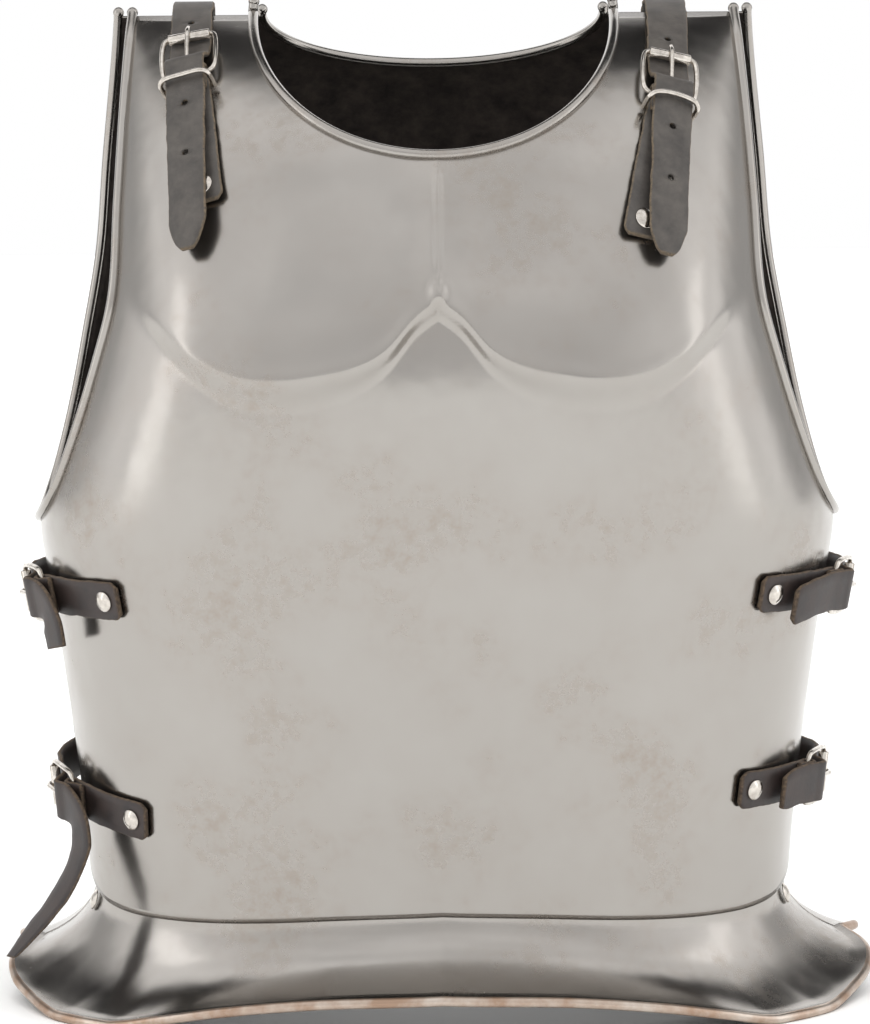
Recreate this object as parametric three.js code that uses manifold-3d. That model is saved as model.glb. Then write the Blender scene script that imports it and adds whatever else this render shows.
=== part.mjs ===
// Steel cuirass: a breastplate and a backplate with flared waist flanges, buckled together by two
// shoulder straps and four side straps. Millimetres, +Z up, the chest faces -Y.
// It stands on the rims of its flanges at z = 0. Left is -X.
import * as THREE from 'three';
import Module from 'manifold-3d';
import { mergeVertices } from 'three/addons/utils/BufferGeometryUtils.js';

// Driving dimensions
const wall = 1.2;              // sheet steel
const beadRadius = 2.5;        // rolled edge
const leather = 2.4;           // strap thickness
const strapWidth = 20;
const gap = 0.3;               // between neighbouring pieces
const sideGap = 2;             // between the two plates at the sides
const armpitHeight = 241;      // where the arm edge meets the side edge
const shoulderTop = 490;
const neckBottom = { front: 424, back: 464 };
const neckHalfWidth = { front: 89, back: 86 };
const wireRadius = 1.3;        // buckle frames
const rollerRadius = 2.6;
const shankRadius = 1.7;
const chordSlack = 1.9;        // the flat faces of a plate lie this far inside its true curve at most

// Horizontal sections of each plate: half width, depth and squareness at a height.
const frontSections = [
  { z: 40, width: 177, depth: 116, power: 2.35 },
  { z: 64, width: 178, depth: 118, power: 2.35 },
  { z: 110, width: 182, depth: 125, power: 2.35 },
  { z: 160, width: 188, depth: 134, power: 2.35 },
  { z: 205, width: 194, depth: 142, power: 2.4 },
  { z: 241, width: 199, depth: 147, power: 2.45 },
  { z: 283, width: 190, depth: 152, power: 2.5 },
  { z: 325, width: 178, depth: 154, power: 2.55 },
  { z: 360, width: 170, depth: 149, power: 2.6 },
  { z: 395, width: 165, depth: 135, power: 2.6 },
  { z: 424, width: 162, depth: 115, power: 2.6 },
  { z: 450, width: 160, depth: 90, power: 2.55 },
  { z: 470, width: 158, depth: 63, power: 2.5 },
  { z: 483, width: 157, depth: 38, power: 2.5 },
  { z: 491, width: 156, depth: 16, power: 2.5 },
];
const backSections = [
  { z: 40, width: 178, depth: 108, power: 2.3 },
  { z: 64, width: 178, depth: 109, power: 2.3 },
  { z: 125, width: 185, depth: 113, power: 2.3 },
  { z: 205, width: 194.5, depth: 118, power: 2.3 },
  { z: 245, width: 199.5, depth: 120, power: 2.35 },
  { z: 290, width: 193, depth: 121, power: 2.4 },
  { z: 330, width: 186, depth: 120, power: 2.45 },
  { z: 380, width: 180, depth: 114, power: 2.5 },
  { z: 425, width: 175, depth: 100, power: 2.5 },
  { z: 455, width: 171, depth: 78, power: 2.5 },
  { z: 475, width: 168, depth: 52, power: 2.5 },
  { z: 491, width: 166, depth: 16, power: 2.5 },
];
// Distance of the arm edge from the middle at a height.
const frontArmEdge = [
  { z: 241, x: 199 }, { z: 255, x: 190 }, { z: 283, x: 178 }, { z: 325, x: 164 },
  { z: 355, x: 156 }, { z: 400, x: 153.5 }, { z: 430, x: 152 }, { z: 490, x: 149 },
];
const backArmEdge = [
  { z: 241, x: 199.4 }, { z: 262, x: 193 }, { z: 290, x: 186 }, { z: 330, x: 178 },
  { z: 370, x: 171 }, { z: 420, x: 166 }, { z: 490, x: 157 },
];
// Lower edge of the plates, crease and rim of the flanges, by the angle from the middle (degrees).
const waist = [
  { angle: 0, edge: 57, crease: 57, flare: 37, foot: 21.5 },
  { angle: 24, edge: 55, crease: 54.5, flare: 37, foot: 18.5 },
  { angle: 39, edge: 52.5, crease: 52, flare: 37.5, foot: 12.5 },
  { angle: 48, edge: 51, crease: 50.5, flare: 38, foot: 6.5 },
  { angle: 57, edge: 50, crease: 50, flare: 40, foot: 0 },
  { angle: 66, edge: 50, crease: 50, flare: 43, foot: 0 },
  { angle: 73, edge: 52, crease: 51, flare: 43, foot: 4.5 },
  { angle: 78, edge: 56, crease: 52.5, flare: 45, foot: 10 },
  { angle: 83, edge: 62, crease: 54, flare: 43, foot: 16 },
  { angle: 90, edge: 74, crease: 57, flare: 31, foot: 20.5 },
];
// Lower border of the embossed chest muscle, outward from the middle.
const chestBorder = [
  { x: 0, z: 353 }, { x: 11, z: 345 }, { x: 24, z: 330 }, { x: 38, z: 321 }, { x: 58, z: 315 },
  { x: 76, z: 313 }, { x: 98, z: 316 }, { x: 117, z: 327 }, { x: 131, z: 340 }, { x: 150, z: 357 },
];
const chestRelief = { height: 6, edge: 11, fade: 85, outerFade: 112, outerEnd: 152 };
const ridge = { low: 366, high: 418, radius: 2, sunk: 1 };
const boss = { z: 361, radius: 5.5, height: 3.2 };

// Cubic curve through a table's rows.
function sample(table, key, column, at) {
  const last = table.length - 1;
  const t = THREE.MathUtils.clamp(at, table[0][key], table[last][key]);
  let i = 0;
  while (i < last - 1 && t > table[i + 1][key]) i += 1;
  const slope = (a, b) => (table[b][column] - table[a][column]) / (table[b][key] - table[a][key]);
  const step = table[i + 1][key] - table[i][key];
  const here = slope(i, i + 1);
  const start = i > 0 ? (slope(i - 1, i) + here) / 2 : here;
  const end = i < last - 1 ? (slope(i + 1, i + 2) + here) / 2 : here;
  const f = (t - table[i][key]) / step;
  const g = 1 - f;
  const line = g * table[i][column] + f * table[i + 1][column];
  return line + f * g * step * (g * (start - here) + f * (here - end));
}

// One plate's curved surface. The angle runs round from the middle (0) to the side edge (90).
function plateSurface(sections, facing) {
  const section = (z) => ({
    width: sample(sections, 'z', 'width', z),
    depth: sample(sections, 'z', 'depth', z),
    power: sample(sections, 'z', 'power', z),
  });
  const at = (degrees, z) => {
    const { width, depth, power } = section(z);
    const s = Math.sin(THREE.MathUtils.degToRad(degrees));
    const c = Math.cos(THREE.MathUtils.degToRad(degrees));
    const reach = (Math.abs(s / width) ** power + Math.abs(c / depth) ** power) ** (-1 / power);
    return new THREE.Vector3(reach * s, facing * (reach * c + sideGap / 2), z);
  };
  const angleOf = (x, z) => {
    const { width, depth, power } = section(z);
    const side = Math.min(Math.abs(x / width), 1);
    const y = depth * (1 - side ** power) ** (1 / power);
    return Math.sign(x) * THREE.MathUtils.radToDeg(Math.atan2(Math.abs(x), y));
  };
  const normal = (degrees, z) => {
    const across = at(degrees + 0.5, z).sub(at(degrees - 0.5, z));
    const up = at(degrees, z + 0.5).sub(at(degrees, z - 0.5));
    return across.cross(up).multiplyScalar(-facing).normalize();
  };
  const out = (degrees, z, distance) => at(degrees, z).addScaledVector(normal(degrees, z), distance);
  return { at, angleOf, normal, out, facing };
}

const front = plateSurface(frontSections, -1);
const back = plateSurface(backSections, 1);

// Height of the embossed chest over the plain surface.
function chestHeight(x, z) {
  const over = z - sample(chestBorder, 'x', 'z', Math.abs(x));
  const rise = THREE.MathUtils.smoothstep(over, -chestRelief.edge / 2, chestRelief.edge / 2);
  const fall = 1 - THREE.MathUtils.smoothstep(over, 0, chestRelief.fade);
  const outward = 1 - THREE.MathUtils.smoothstep(Math.abs(x), chestRelief.outerFade, chestRelief.outerEnd);
  return chestRelief.height * rise * fall * outward;
}

// A closed sheet: patches of { outer, inner } points, joined where they share points.
function sheet(patches) {
  const ids = new Map();
  const outer = [];
  const inner = [];
  const idOf = (point) => {
    const key = point.outer.toArray().map((v) => Math.round(v * 500)).join();
    if (!ids.has(key)) {
      ids.set(key, outer.length);
      outer.push(point.outer);
      inner.push(point.inner);
    }
    return ids.get(key);
  };
  const faces = [];
  const edges = new Map();
  const addFace = (a, b, c) => {
    if (a === b || b === c || c === a) return;
    faces.push([a, b, c]);
    for (const [p, q] of [[a, b], [b, c], [c, a]]) {
      if (!edges.delete(`${q},${p}`)) edges.set(`${p},${q}`, [p, q]);
    }
  };
  for (const patch of patches) {
    for (let j = 0; j < patch.length - 1; j += 1) {
      for (let i = 0; i < patch[j].length - 1; i += 1) {
        const [a, b] = [idOf(patch[j][i]), idOf(patch[j][i + 1])];
        const [d, c] = [idOf(patch[j + 1][i]), idOf(patch[j + 1][i + 1])];
        addFace(a, b, c);
        addFace(a, c, d);
      }
    }
  }
  const count = outer.length;
  const index = [];
  for (const [a, b, c] of faces) index.push(a, b, c, c + count, b + count, a + count);
  for (const [p, q] of edges.values()) index.push(q, p, p + count, q, p + count, q + count);
  return geometryOf([...outer, ...inner], index);
}

function geometryOf(points, index) {
  const geometry = new THREE.BufferGeometry();
  geometry.setAttribute('position', new THREE.Float32BufferAttribute(points.flatMap((p) => p.toArray()), 3));
  geometry.setIndex(index);
  return geometry;
}

// A closed solid through rings of equal length. A ring's outline gives its end caps.
function loft(rings, outline, closed = false) {
  const count = rings[0].length;
  const index = [];
  const last = closed ? rings.length : rings.length - 1;
  for (let j = 0; j < last; j += 1) {
    const here = j * count;
    const next = ((j + 1) % rings.length) * count;
    for (let i = 0; i < count; i += 1) {
      const k = (i + 1) % count;
      index.push(here + i, here + k, next + k, here + i, next + k, next + i);
    }
  }
  if (!closed) {
    const end = (rings.length - 1) * count;
    const turn = Math.sign(THREE.ShapeUtils.area(outline));
    for (const corners of THREE.ShapeUtils.triangulateShape(outline, [])) {
      const same = Math.sign(THREE.ShapeUtils.area(corners.map((i) => outline[i]))) === turn;
      const [a, b, c] = same ? corners : [...corners].reverse();
      index.push(c, b, a, end + a, end + b, end + c);
    }
  }
  return outward(geometryOf(rings.flat(), index));
}

// Turns a closed geometry's faces outward.
function outward(geometry) {
  const position = geometry.getAttribute('position');
  const index = geometry.getIndex().array;
  const [a, b, c] = [new THREE.Vector3(), new THREE.Vector3(), new THREE.Vector3()];
  let volume = 0;
  for (let i = 0; i < index.length; i += 3) {
    a.fromBufferAttribute(position, index[i]);
    b.fromBufferAttribute(position, index[i + 1]);
    c.fromBufferAttribute(position, index[i + 2]);
    volume += a.dot(b.cross(c));
  }
  if (volume < 0) geometry.setIndex([...index].reverse());
  return geometry;
}

function polygon(radius, sides, turn = 0.5) {
  return Array.from({ length: sides }, (_, i) => {
    const angle = (2 * Math.PI * (i + turn)) / sides;
    return new THREE.Vector2(radius * Math.cos(angle), radius * Math.sin(angle));
  });
}

// A round bar along points, open with flat ends or closed on itself.
function bar(points, radius, sides, closed = false) {
  const outline = polygon(radius, sides);
  const count = points.length;
  const tangents = points.map((_, i) => {
    const before = points[closed ? (i + count - 1) % count : Math.max(i - 1, 0)];
    const after = points[closed ? (i + 1) % count : Math.min(i + 1, count - 1)];
    return after.clone().sub(before).normalize();
  });
  const helper = Math.abs(tangents[0].z) < 0.8 ? new THREE.Vector3(0, 0, 1) : new THREE.Vector3(1, 0, 0);
  let side = helper.clone().cross(tangents[0]).normalize();
  const rings = points.map((point, i) => {
    side = side.clone().addScaledVector(tangents[i], -side.dot(tangents[i])).normalize();
    const other = tangents[i].clone().cross(side);
    return outline.map((p) => point.clone().addScaledVector(side, p.x).addScaledVector(other, p.y));
  });
  return loft(rings, outline, closed);
}

const wasm = await Module();
wasm.setup();

function solid(geometry) {
  const plain = geometry.clone();
  plain.deleteAttribute('normal');
  plain.deleteAttribute('uv');
  const merged = mergeVertices(plain, 1e-4);
  return new wasm.Manifold(new wasm.Mesh({
    numProp: 3,
    vertProperties: new Float32Array(merged.getAttribute('position').array),
    triVerts: new Uint32Array(merged.getIndex().array),
  }));
}

function geometryFrom(manifold) {
  const mesh = manifold.getMesh();
  const geometry = new THREE.BufferGeometry();
  geometry.setAttribute('position', new THREE.BufferAttribute(mesh.vertProperties, 3));
  geometry.setIndex(new THREE.BufferAttribute(mesh.triVerts, 1));
  return geometry;
}

const join = (geometry, ...others) => geometryFrom(others.reduce((s, g) => s.add(solid(g)), solid(geometry)));
const cut = (geometry, ...others) => geometryFrom(others.reduce((s, g) => s.subtract(solid(g)), solid(geometry)));

// A round pin from one point towards another, for shanks and holes.
function pin(from, to, radius) {
  return bar([from, to], radius, holeSides);
}

const paints = {
  steel: { color: '#c4bdb6', roughness: 0.3, metalness: 1 },
  leather: { color: '#3f3733', roughness: 0.7, metalness: 0 },
  nickel: { color: '#d8d3cc', roughness: 0.25, metalness: 1 },
};
const group = new THREE.Group();

function place(name, geometry, paint) {
  const mesh = new THREE.Mesh(geometry, new THREE.MeshStandardMaterial(paints[paint]));
  mesh.name = name;
  group.add(mesh);
}

const steps = (from, to, count) => Array.from({ length: count + 1 }, (_, i) => from + ((to - from) * i) / count);

// ---- Plates ----

// Heights of the shoulder rows, closer together at the bottom of the neck, where its edge runs level.
const rising = (from, to, count) => steps(0, 1, count).map((f) => from + (to - from) * f * f);

function armAngle(surface, armEdge, z) {
  if (z <= armpitHeight) return 90;
  return surface.angleOf(sample(armEdge, 'z', 'x', z), z);
}

function neckX(side, z) {
  const rise = (z - neckBottom[side]) / (shoulderTop - neckBottom[side]);
  return neckHalfWidth[side] * Math.sqrt(Math.max(0, 1 - (1 - rise) ** 2));
}

// The wall over the body and over both shoulders, as three patches of points.
function plateWall(side, surface, armEdge, heights, columns, relief) {
  const neck = neckBottom[side];
  const point = (angle, base) => {
    const lift = sample(waist, 'angle', 'edge', Math.abs(angle)) - waist[0].edge;
    const z = base + lift * Math.max(0, 1 - (base - waist[0].edge) / 70);
    const raised = relief(surface.at(angle, z).x, z);
    return { outer: surface.out(angle, z, raised), inner: surface.out(angle, z, raised - wall) };
  };
  const row = (z, from, to, count) => steps(from, to, count).map((angle) => point(angle, z));
  const body = heights.map((z) => {
    const reach = armAngle(surface, armEdge, z);
    return row(z, -reach, reach, columns);
  });
  const shoulders = [-1, 1].map((hand) => rising(neck, shoulderTop, 4).map((z) => {
    const inside = hand * surface.angleOf(neckX(side, z), z);
    const outside = hand * armAngle(surface, armEdge, z);
    const line = row(z, inside || 0, outside, columns / 2);
    return hand > 0 ? line : line.reverse();
  }));
  return outward(sheet([body, ...shoulders]));
}

// Centre lines of the rolled edges. They stand a little proud of the sheet.
const proud = 0.6;
function neckLine(side, surface, count) {
  const depth = shoulderTop - neckBottom[side];
  return steps(-96, 96, count).map((degrees) => {
    const angle = THREE.MathUtils.degToRad(degrees);
    const x = neckHalfWidth[side] * Math.sin(angle);
    const z = shoulderTop - depth * Math.cos(angle);
    return surface.out(surface.angleOf(x, z), z, proud);
  });
}

function armLine(surface, armEdge, hand, count) {
  return steps(0, 1, count).map((f) => {
    const z = armpitHeight + 0.2 + (shoulderTop + 1.5 - armpitHeight) * f ** 1.7;
    return surface.out(hand * armAngle(surface, armEdge, z), z, proud);
  });
}

function rolledEdges(side, surface, armEdge, neckSteps, armSteps) {
  return [
    bar(neckLine(side, surface, neckSteps), beadRadius, 5),
    ...[-1, 1].map((hand) => bar(armLine(surface, armEdge, hand, armSteps), beadRadius, 5)),
  ];
}

// ---- Flanges ----

const flareTurn = THREE.MathUtils.degToRad(65);
const tuck = 22;               // height of the flange hidden behind the plate
const rimRadius = 2.6;

// The flange's outer surface: f runs from the crease (0) to the rim (1).
function flangePoint(surface, angle, f, inward = 0) {
  const size = (column) => sample(waist, 'angle', column, Math.abs(angle));
  const rimZ = Math.max(size('foot'), 0) + rimRadius * Math.sin(Math.PI / 3);
  const turn = flareTurn * f;
  const out = (size('flare') * (1 - Math.cos(turn))) / (1 - Math.cos(flareTurn));
  const z = size('crease') - ((size('crease') - rimZ) * Math.sin(turn)) / Math.sin(flareTurn);
  const slope = Math.sin(turn) / 1.6;
  const base = surface.at(angle, size('crease'));
  const way = new THREE.Vector3(Math.sin(THREE.MathUtils.degToRad(angle)), 0, 0);
  way.y = surface.facing * Math.cos(THREE.MathUtils.degToRad(angle));
  base.addScaledVector(way, out - wall - gap - chordSlack - inward * (1 - slope));
  base.z = z - inward * slope;
  return { point: base, way };
}

function flange(surface, angles) {
  const bends = [0, 0.4, 0.75];
  const rings = angles.map((angle) => {
    const rim = flangePoint(surface, angle, 1, wall / 2);
    const bead = [90, 20, -60, -120, -180].map((degrees) => {
      const turn = THREE.MathUtils.degToRad(degrees);
      const point = rim.point.clone().addScaledVector(rim.way, rimRadius * Math.cos(turn));
      point.z = flangePoint(surface, angle, 1).point.z + rimRadius * Math.sin(turn);
      return point;
    });
    const top = surface.out(angle, flangePoint(surface, angle, 0).point.z + tuck, -wall - gap - chordSlack);
    const topInner = surface.out(angle, flangePoint(surface, angle, 0).point.z + tuck, -2 * wall - gap - chordSlack);
    return [
      top,
      ...bends.map((f) => flangePoint(surface, angle, f).point),
      ...bead,
      ...bends.map((f) => flangePoint(surface, angle, f, wall).point).reverse(),
      topInner,
    ];
  });
  const outline = rings[0].map((p) => new THREE.Vector2(Math.abs(p.x), p.z));
  return loft(rings, outline);
}

// ---- Straps, buckles and rivets ----

// A route over the plates through { point, normal } stops. A place on it is s along, n above the plate
// and w across. It starts at the strap's rivet on the backplate and ends past the chape's rivet.
function route(stops, hand) {
  const curve = new THREE.CatmullRomCurve3(stops.map((stop) => stop.point));
  const normals = new THREE.CatmullRomCurve3(stops.map((stop) => stop.normal));
  curve.arcLengthDivisions = 400;
  const length = curve.getLength();
  const locate = (s) => {
    const u = THREE.MathUtils.clamp(s / length, 0, 1);
    const along = curve.getTangentAt(u);
    const up = normals.getPoint(curve.getUtoTmapping(u));
    up.addScaledVector(along, -up.dot(along)).normalize();
    const side = up.clone().cross(along).multiplyScalar(hand);
    const point = curve.getPointAt(u).addScaledVector(along, s - u * length);
    return { point, along, side, up };
  };
  const at = (s, n, w) => {
    const { point, side, up } = locate(s);
    return point.addScaledVector(up, n).addScaledVector(side, w);
  };
  // The last place where a measure of the point passes a value.
  const where = (measure, value) => {
    let s = length;
    const start = Math.sign(measure(at(s, 0, 0)) - value);
    while (s > 0 && Math.sign(measure(at(s, 0, 0)) - value) === start) s -= 0.5;
    return s;
  };
  return { locate, at, where };
}

// A stop on a plate's outer face.
function stop(surface, angle, z) {
  const raised = surface === front ? chestHeight(surface.at(angle, z).x, z) : 0;
  return { point: surface.out(angle, z, raised), normal: surface.normal(angle, z) };
}

// A leather strip through rows of s, n (its middle), w, half width, and lean of its width (degrees).
function strip(path, rows) {
  const half = leather / 2;
  const rings = rows.map((row, i) => {
    const before = rows[Math.max(i - 1, 0)];
    const after = rows[Math.min(i + 1, rows.length - 1)];
    const way = new THREE.Vector2(after.s - before.s, after.n - before.n);
    if (way.length() < 1e-6) way.set(1, 0);
    way.normalize();
    const lean = THREE.MathUtils.degToRad(row.lean ?? 0);
    const thick = lean ? new THREE.Vector2(0, 1) : new THREE.Vector2(-way.y, way.x);
    return [[-1, -1], [1, -1], [1, 1], [-1, 1]].map(([a, b]) => path.at(
      row.s + b * half * thick.x + a * row.half * Math.sin(lean),
      row.n + b * half * thick.y,
      (row.w ?? 0) + a * row.half * Math.cos(lean),
    ));
  });
  const square = [[-1, -1], [1, -1], [1, 1], [-1, 1]].map(([x, y]) => new THREE.Vector2(x, y));
  return loft(rings, square);
}

const holes = { front: [], back: [] };
const headRadius = 5.2;
const holeSides = 6;
const holeRadius = (shankRadius + gap) / Math.cos(Math.PI / holeSides);

// A domed rivet at a place on a route, through leather that ends at height top, and through the plate.
function rivet(name, spot, up, top, through) {
  const base = top + gap;
  const inner = -through - 3 * gap - chordSlack;
  const profile = [
    [0, base + 2.3], [headRadius, base], [shankRadius, base],
    [shankRadius, inner], [3.1, inner], [0, inner - 1.2],
  ].map(([x, y]) => new THREE.Vector2(x, y));
  const geometry = mergeVertices(bare(new THREE.LatheGeometry(profile, 6)), 1e-4);
  place(name, outward(geometry), 'nickel');
  const mesh = group.children[group.children.length - 1];
  mesh.position.copy(spot);
  mesh.quaternion.setFromUnitVectors(new THREE.Vector3(0, 1, 0), up);
  return pin(spot.clone().addScaledVector(up, -8), spot.clone().addScaledVector(up, 8), holeRadius);
}

function bare(geometry) {
  geometry.deleteAttribute('normal');
  geometry.deleteAttribute('uv');
  return geometry;
}

// Heights over the plate of the parts of a fastened buckle.
const under = 3.5 * gap + leather / 2;                   // leather flat on the plate
const barHeight = under + leather / 2 + gap + wireRadius;
const rollerHeight = under + leather / 2 + gap + rollerRadius;
const overBar = barHeight + wireRadius + gap + leather / 2;
const overLoop = overBar + leather + gap;
const buckleLength = 26;       // roller to heel bar
const frameHalf = strapWidth / 2 + gap * 3 + wireRadius + 0.4;
const chapeHalf = 9.4;
const prongRadius = 1.1;

// A strap, chape and roller buckle on a route. spec gives the places of roller, rivet and chape end.
function buckledStrap(name, path, spec) {
  const { roller, chapeEnd, tail, lean = 0, punched = [] } = spec;
  const heel = roller + buckleLength;
  const chapeRivet = chapeEnd - 9;
  const drift = (s) => (lean * Math.max(0, s - heel)) / (chapeRivet - heel);

  const prong = [[heel + 1, overBar - 0.1], [heel - 6, overBar + 0.4], [roller + 5, rollerHeight + 3.4],
    [roller, rollerHeight + rollerRadius + gap + prongRadius], [roller - 4, rollerHeight + 2.6]];
  const prongLine = prong.map(([s, n]) => path.at(s, n, 0));
  const prongCut = bar(prongLine, prongRadius + gap + 0.3, 5);

  const chapeRows = [
    { s: chapeEnd, n: under, w: drift(chapeEnd), half: chapeHalf * 0.72 },
    { s: chapeEnd - 3, n: under, w: drift(chapeEnd - 3), half: chapeHalf },
    ...steps(chapeEnd - 11, heel + 3, 3).map((s) => ({ s, n: under, w: drift(s), half: chapeHalf })),
    { s: heel - 1.4, n: barHeight - 2.5, half: chapeHalf },
    { s: heel - 2.8, n: barHeight, half: chapeHalf },
    { s: heel - 1.4, n: barHeight + 2.5, half: chapeHalf },
    { s: heel + 1.5, n: overBar, half: chapeHalf },
    { s: heel + 7, n: under + leather + 0.6, half: chapeHalf },
    { s: heel + 11, n: under + leather + gap, half: chapeHalf },
  ];
  const chapeSpot = path.at(chapeRivet, 0, drift(chapeRivet));
  const frontPin = rivet(`${name}_chape_rivet`, chapeSpot, path.locate(chapeRivet).up, under + leather / 2, wall);
  holes.front.push(frontPin);
  place(`${name}_chape`, cut(strip(path, chapeRows), frontPin, prongCut), 'leather');

  const strapRows = [
    { s: 0, n: under, half: 8 },
    { s: 3, n: under, half: strapWidth / 2 },
    ...steps(14, roller - 6, spec.backSteps).map((s) => ({ s, n: under, half: strapWidth / 2 })),
    { s: roller + 3, n: under, half: strapWidth / 2 },
    { s: heel - 12, n: under + 2.6, half: strapWidth / 2 },
    { s: heel - 3.5, n: overLoop + 1.6, half: strapWidth / 2 },
    { s: heel + 4, n: overLoop + 0.4, half: strapWidth / 2 },
    ...tail(heel),
  ];
  const strapRivet = 8;
  const backUp = path.locate(strapRivet).up;
  const backPin = rivet(`${name}_rivet`, path.at(strapRivet, 0, 0), backUp, under + leather / 2, wall);
  holes.back.push(backPin);
  const punches = punched.map(([s, n]) => pin(path.at(s, n - 4, 0), path.at(s, n + 4, 0), 1.8));
  place(name, cut(strip(path, strapRows), backPin, prongCut, ...punches), 'leather');

  const corner = 2;
  const frame = [
    [roller, -frameHalf + corner, 0], [roller + corner, -frameHalf, 0.1], [heel - corner, -frameHalf, 0.9],
    [heel, -frameHalf + corner, 1], [heel, frameHalf - corner, 1], [heel - corner, frameHalf, 0.9],
    [roller + corner, frameHalf, 0.1], [roller, frameHalf - corner, 0],
  ].map(([s, w, f]) => path.at(s, rollerHeight + f * (barHeight - rollerHeight), w));
  place(`${name}_buckle`, bar(frame, wireRadius, 5, true), 'nickel');

  const reach = strapWidth / 2 + 0.2;
  const bore = wireRadius + gap;
  const tube = [[bore, -reach], [rollerRadius, -reach], [rollerRadius, reach], [bore, reach], [bore, -reach]];
  const profile = tube.map(([x, y]) => new THREE.Vector2(x, y));
  place(`${name}_roller`, outward(mergeVertices(bare(new THREE.LatheGeometry(profile, 6)), 1e-4)), 'nickel');
  const rollerMesh = group.children[group.children.length - 1];
  rollerMesh.position.copy(path.at(roller, rollerHeight, 0));
  rollerMesh.quaternion.setFromUnitVectors(new THREE.Vector3(0, 1, 0), path.locate(roller).side);

  place(`${name}_prong`, bar(prongLine, prongRadius, 5), 'nickel');
}

// A wire ring that holds the tail of a shoulder strap down, its ends beside the leather.
function keeper(name, path, s, arch) {
  const high = overLoop + leather / 2 + 0.4 + gap + wireRadius;
  const side = strapWidth / 2 + gap + wireRadius + 0.6;
  const points = [
    [0, under, -side], [0, high - 2.5, -side], [arch * 0.4, high, -side + 2], [arch, high + 0.3, 0],
    [arch * 0.4, high, side - 2], [0, high - 2.5, side], [0, under, side],
  ];
  place(name, bar(points.map(([along, n, w]) => path.at(s + along, n, w)), wireRadius, 5), 'nickel');
}

const shoulders = [
  { name: 'shoulder_strap_left', topX: -119, tipX: -113, roller: 474.5, chapeEnd: 400, tip: 378, lean: 6, arch: -1 },
  { name: 'shoulder_strap_right', topX: 115, tipX: 104, roller: 464, chapeEnd: 382, tip: 374, lean: -10, arch: -3 },
];
for (const { name, topX, tipX, roller, chapeEnd, tip, lean, arch } of shoulders) {
  const over = (surface, z, x) => stop(surface, surface.angleOf(x, z), z);
  const frontX = (z) => tipX + ((topX - tipX) * (z - tip)) / (shoulderTop - tip);
  const path = route([
    ...[440, 455, 468, 480, 488].map((z) => over(back, z, topX)),
    { point: new THREE.Vector3(topX, 0, shoulderTop + 3.5), normal: new THREE.Vector3(0, 0, 1) },
    ...[488, 480, 468, 452, 434, 414, 392, tip - 8].map((z) => over(front, z, frontX(z))),
  ], 1);
  const down = (z) => path.where((p) => p.z, z);
  const tail = (heel) => {
    const end = down(tip);
    return [
      { s: heel + 14, n: under + 3 * leather, half: strapWidth / 2 },
      { s: (heel + end) / 2 + 4, n: under + 2.5 * leather, half: strapWidth / 2 },
      { s: end - 14, n: under + 2.4 * leather, half: strapWidth / 2 },
      { s: end - 3, n: under + 2.4 * leather, half: strapWidth * 0.3 },
      { s: end, n: under + 2.4 * leather, half: strapWidth * 0.16 },
    ];
  };
  const rollerAt = down(roller);
  const heel = rollerAt + buckleLength;
  buckledStrap(name, path, {
    roller: rollerAt, chapeEnd: down(chapeEnd), lean, tail, backSteps: 7,
    punched: [[rollerAt - 17, under], [heel + 22, under + 2.9 * leather], [heel + 50, under + 2.4 * leather]],
  });
  keeper(`${name}_keeper`, path, heel + 9, arch);
}

// Side straps go round the body at a height, from the backplate forward to the breastplate. Being
// stiff, they bow away from the plates where these meet at the side.
const sides = [
  { name: 'side_strap_upper_left', hand: -1, rivetX: 159.5, rivetZ: 210.5, slope: -0.04, roller: 80, tail: 'short' },
  { name: 'side_strap_lower_left', hand: -1, rivetX: 149, rivetZ: 100, slope: 0.1, roller: 74, tail: 'long' },
  { name: 'side_strap_upper_right', hand: 1, rivetX: 160, rivetZ: 211, slope: -0.05, roller: 82, tail: 'lapped' },
  { name: 'side_strap_lower_right', hand: 1, rivetX: 151.5, rivetZ: 112, slope: -0.03, roller: 72, tail: 'forward' },
];
const bow = { height: 7, spread: 14 };
const wide = strapWidth / 2;
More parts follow.
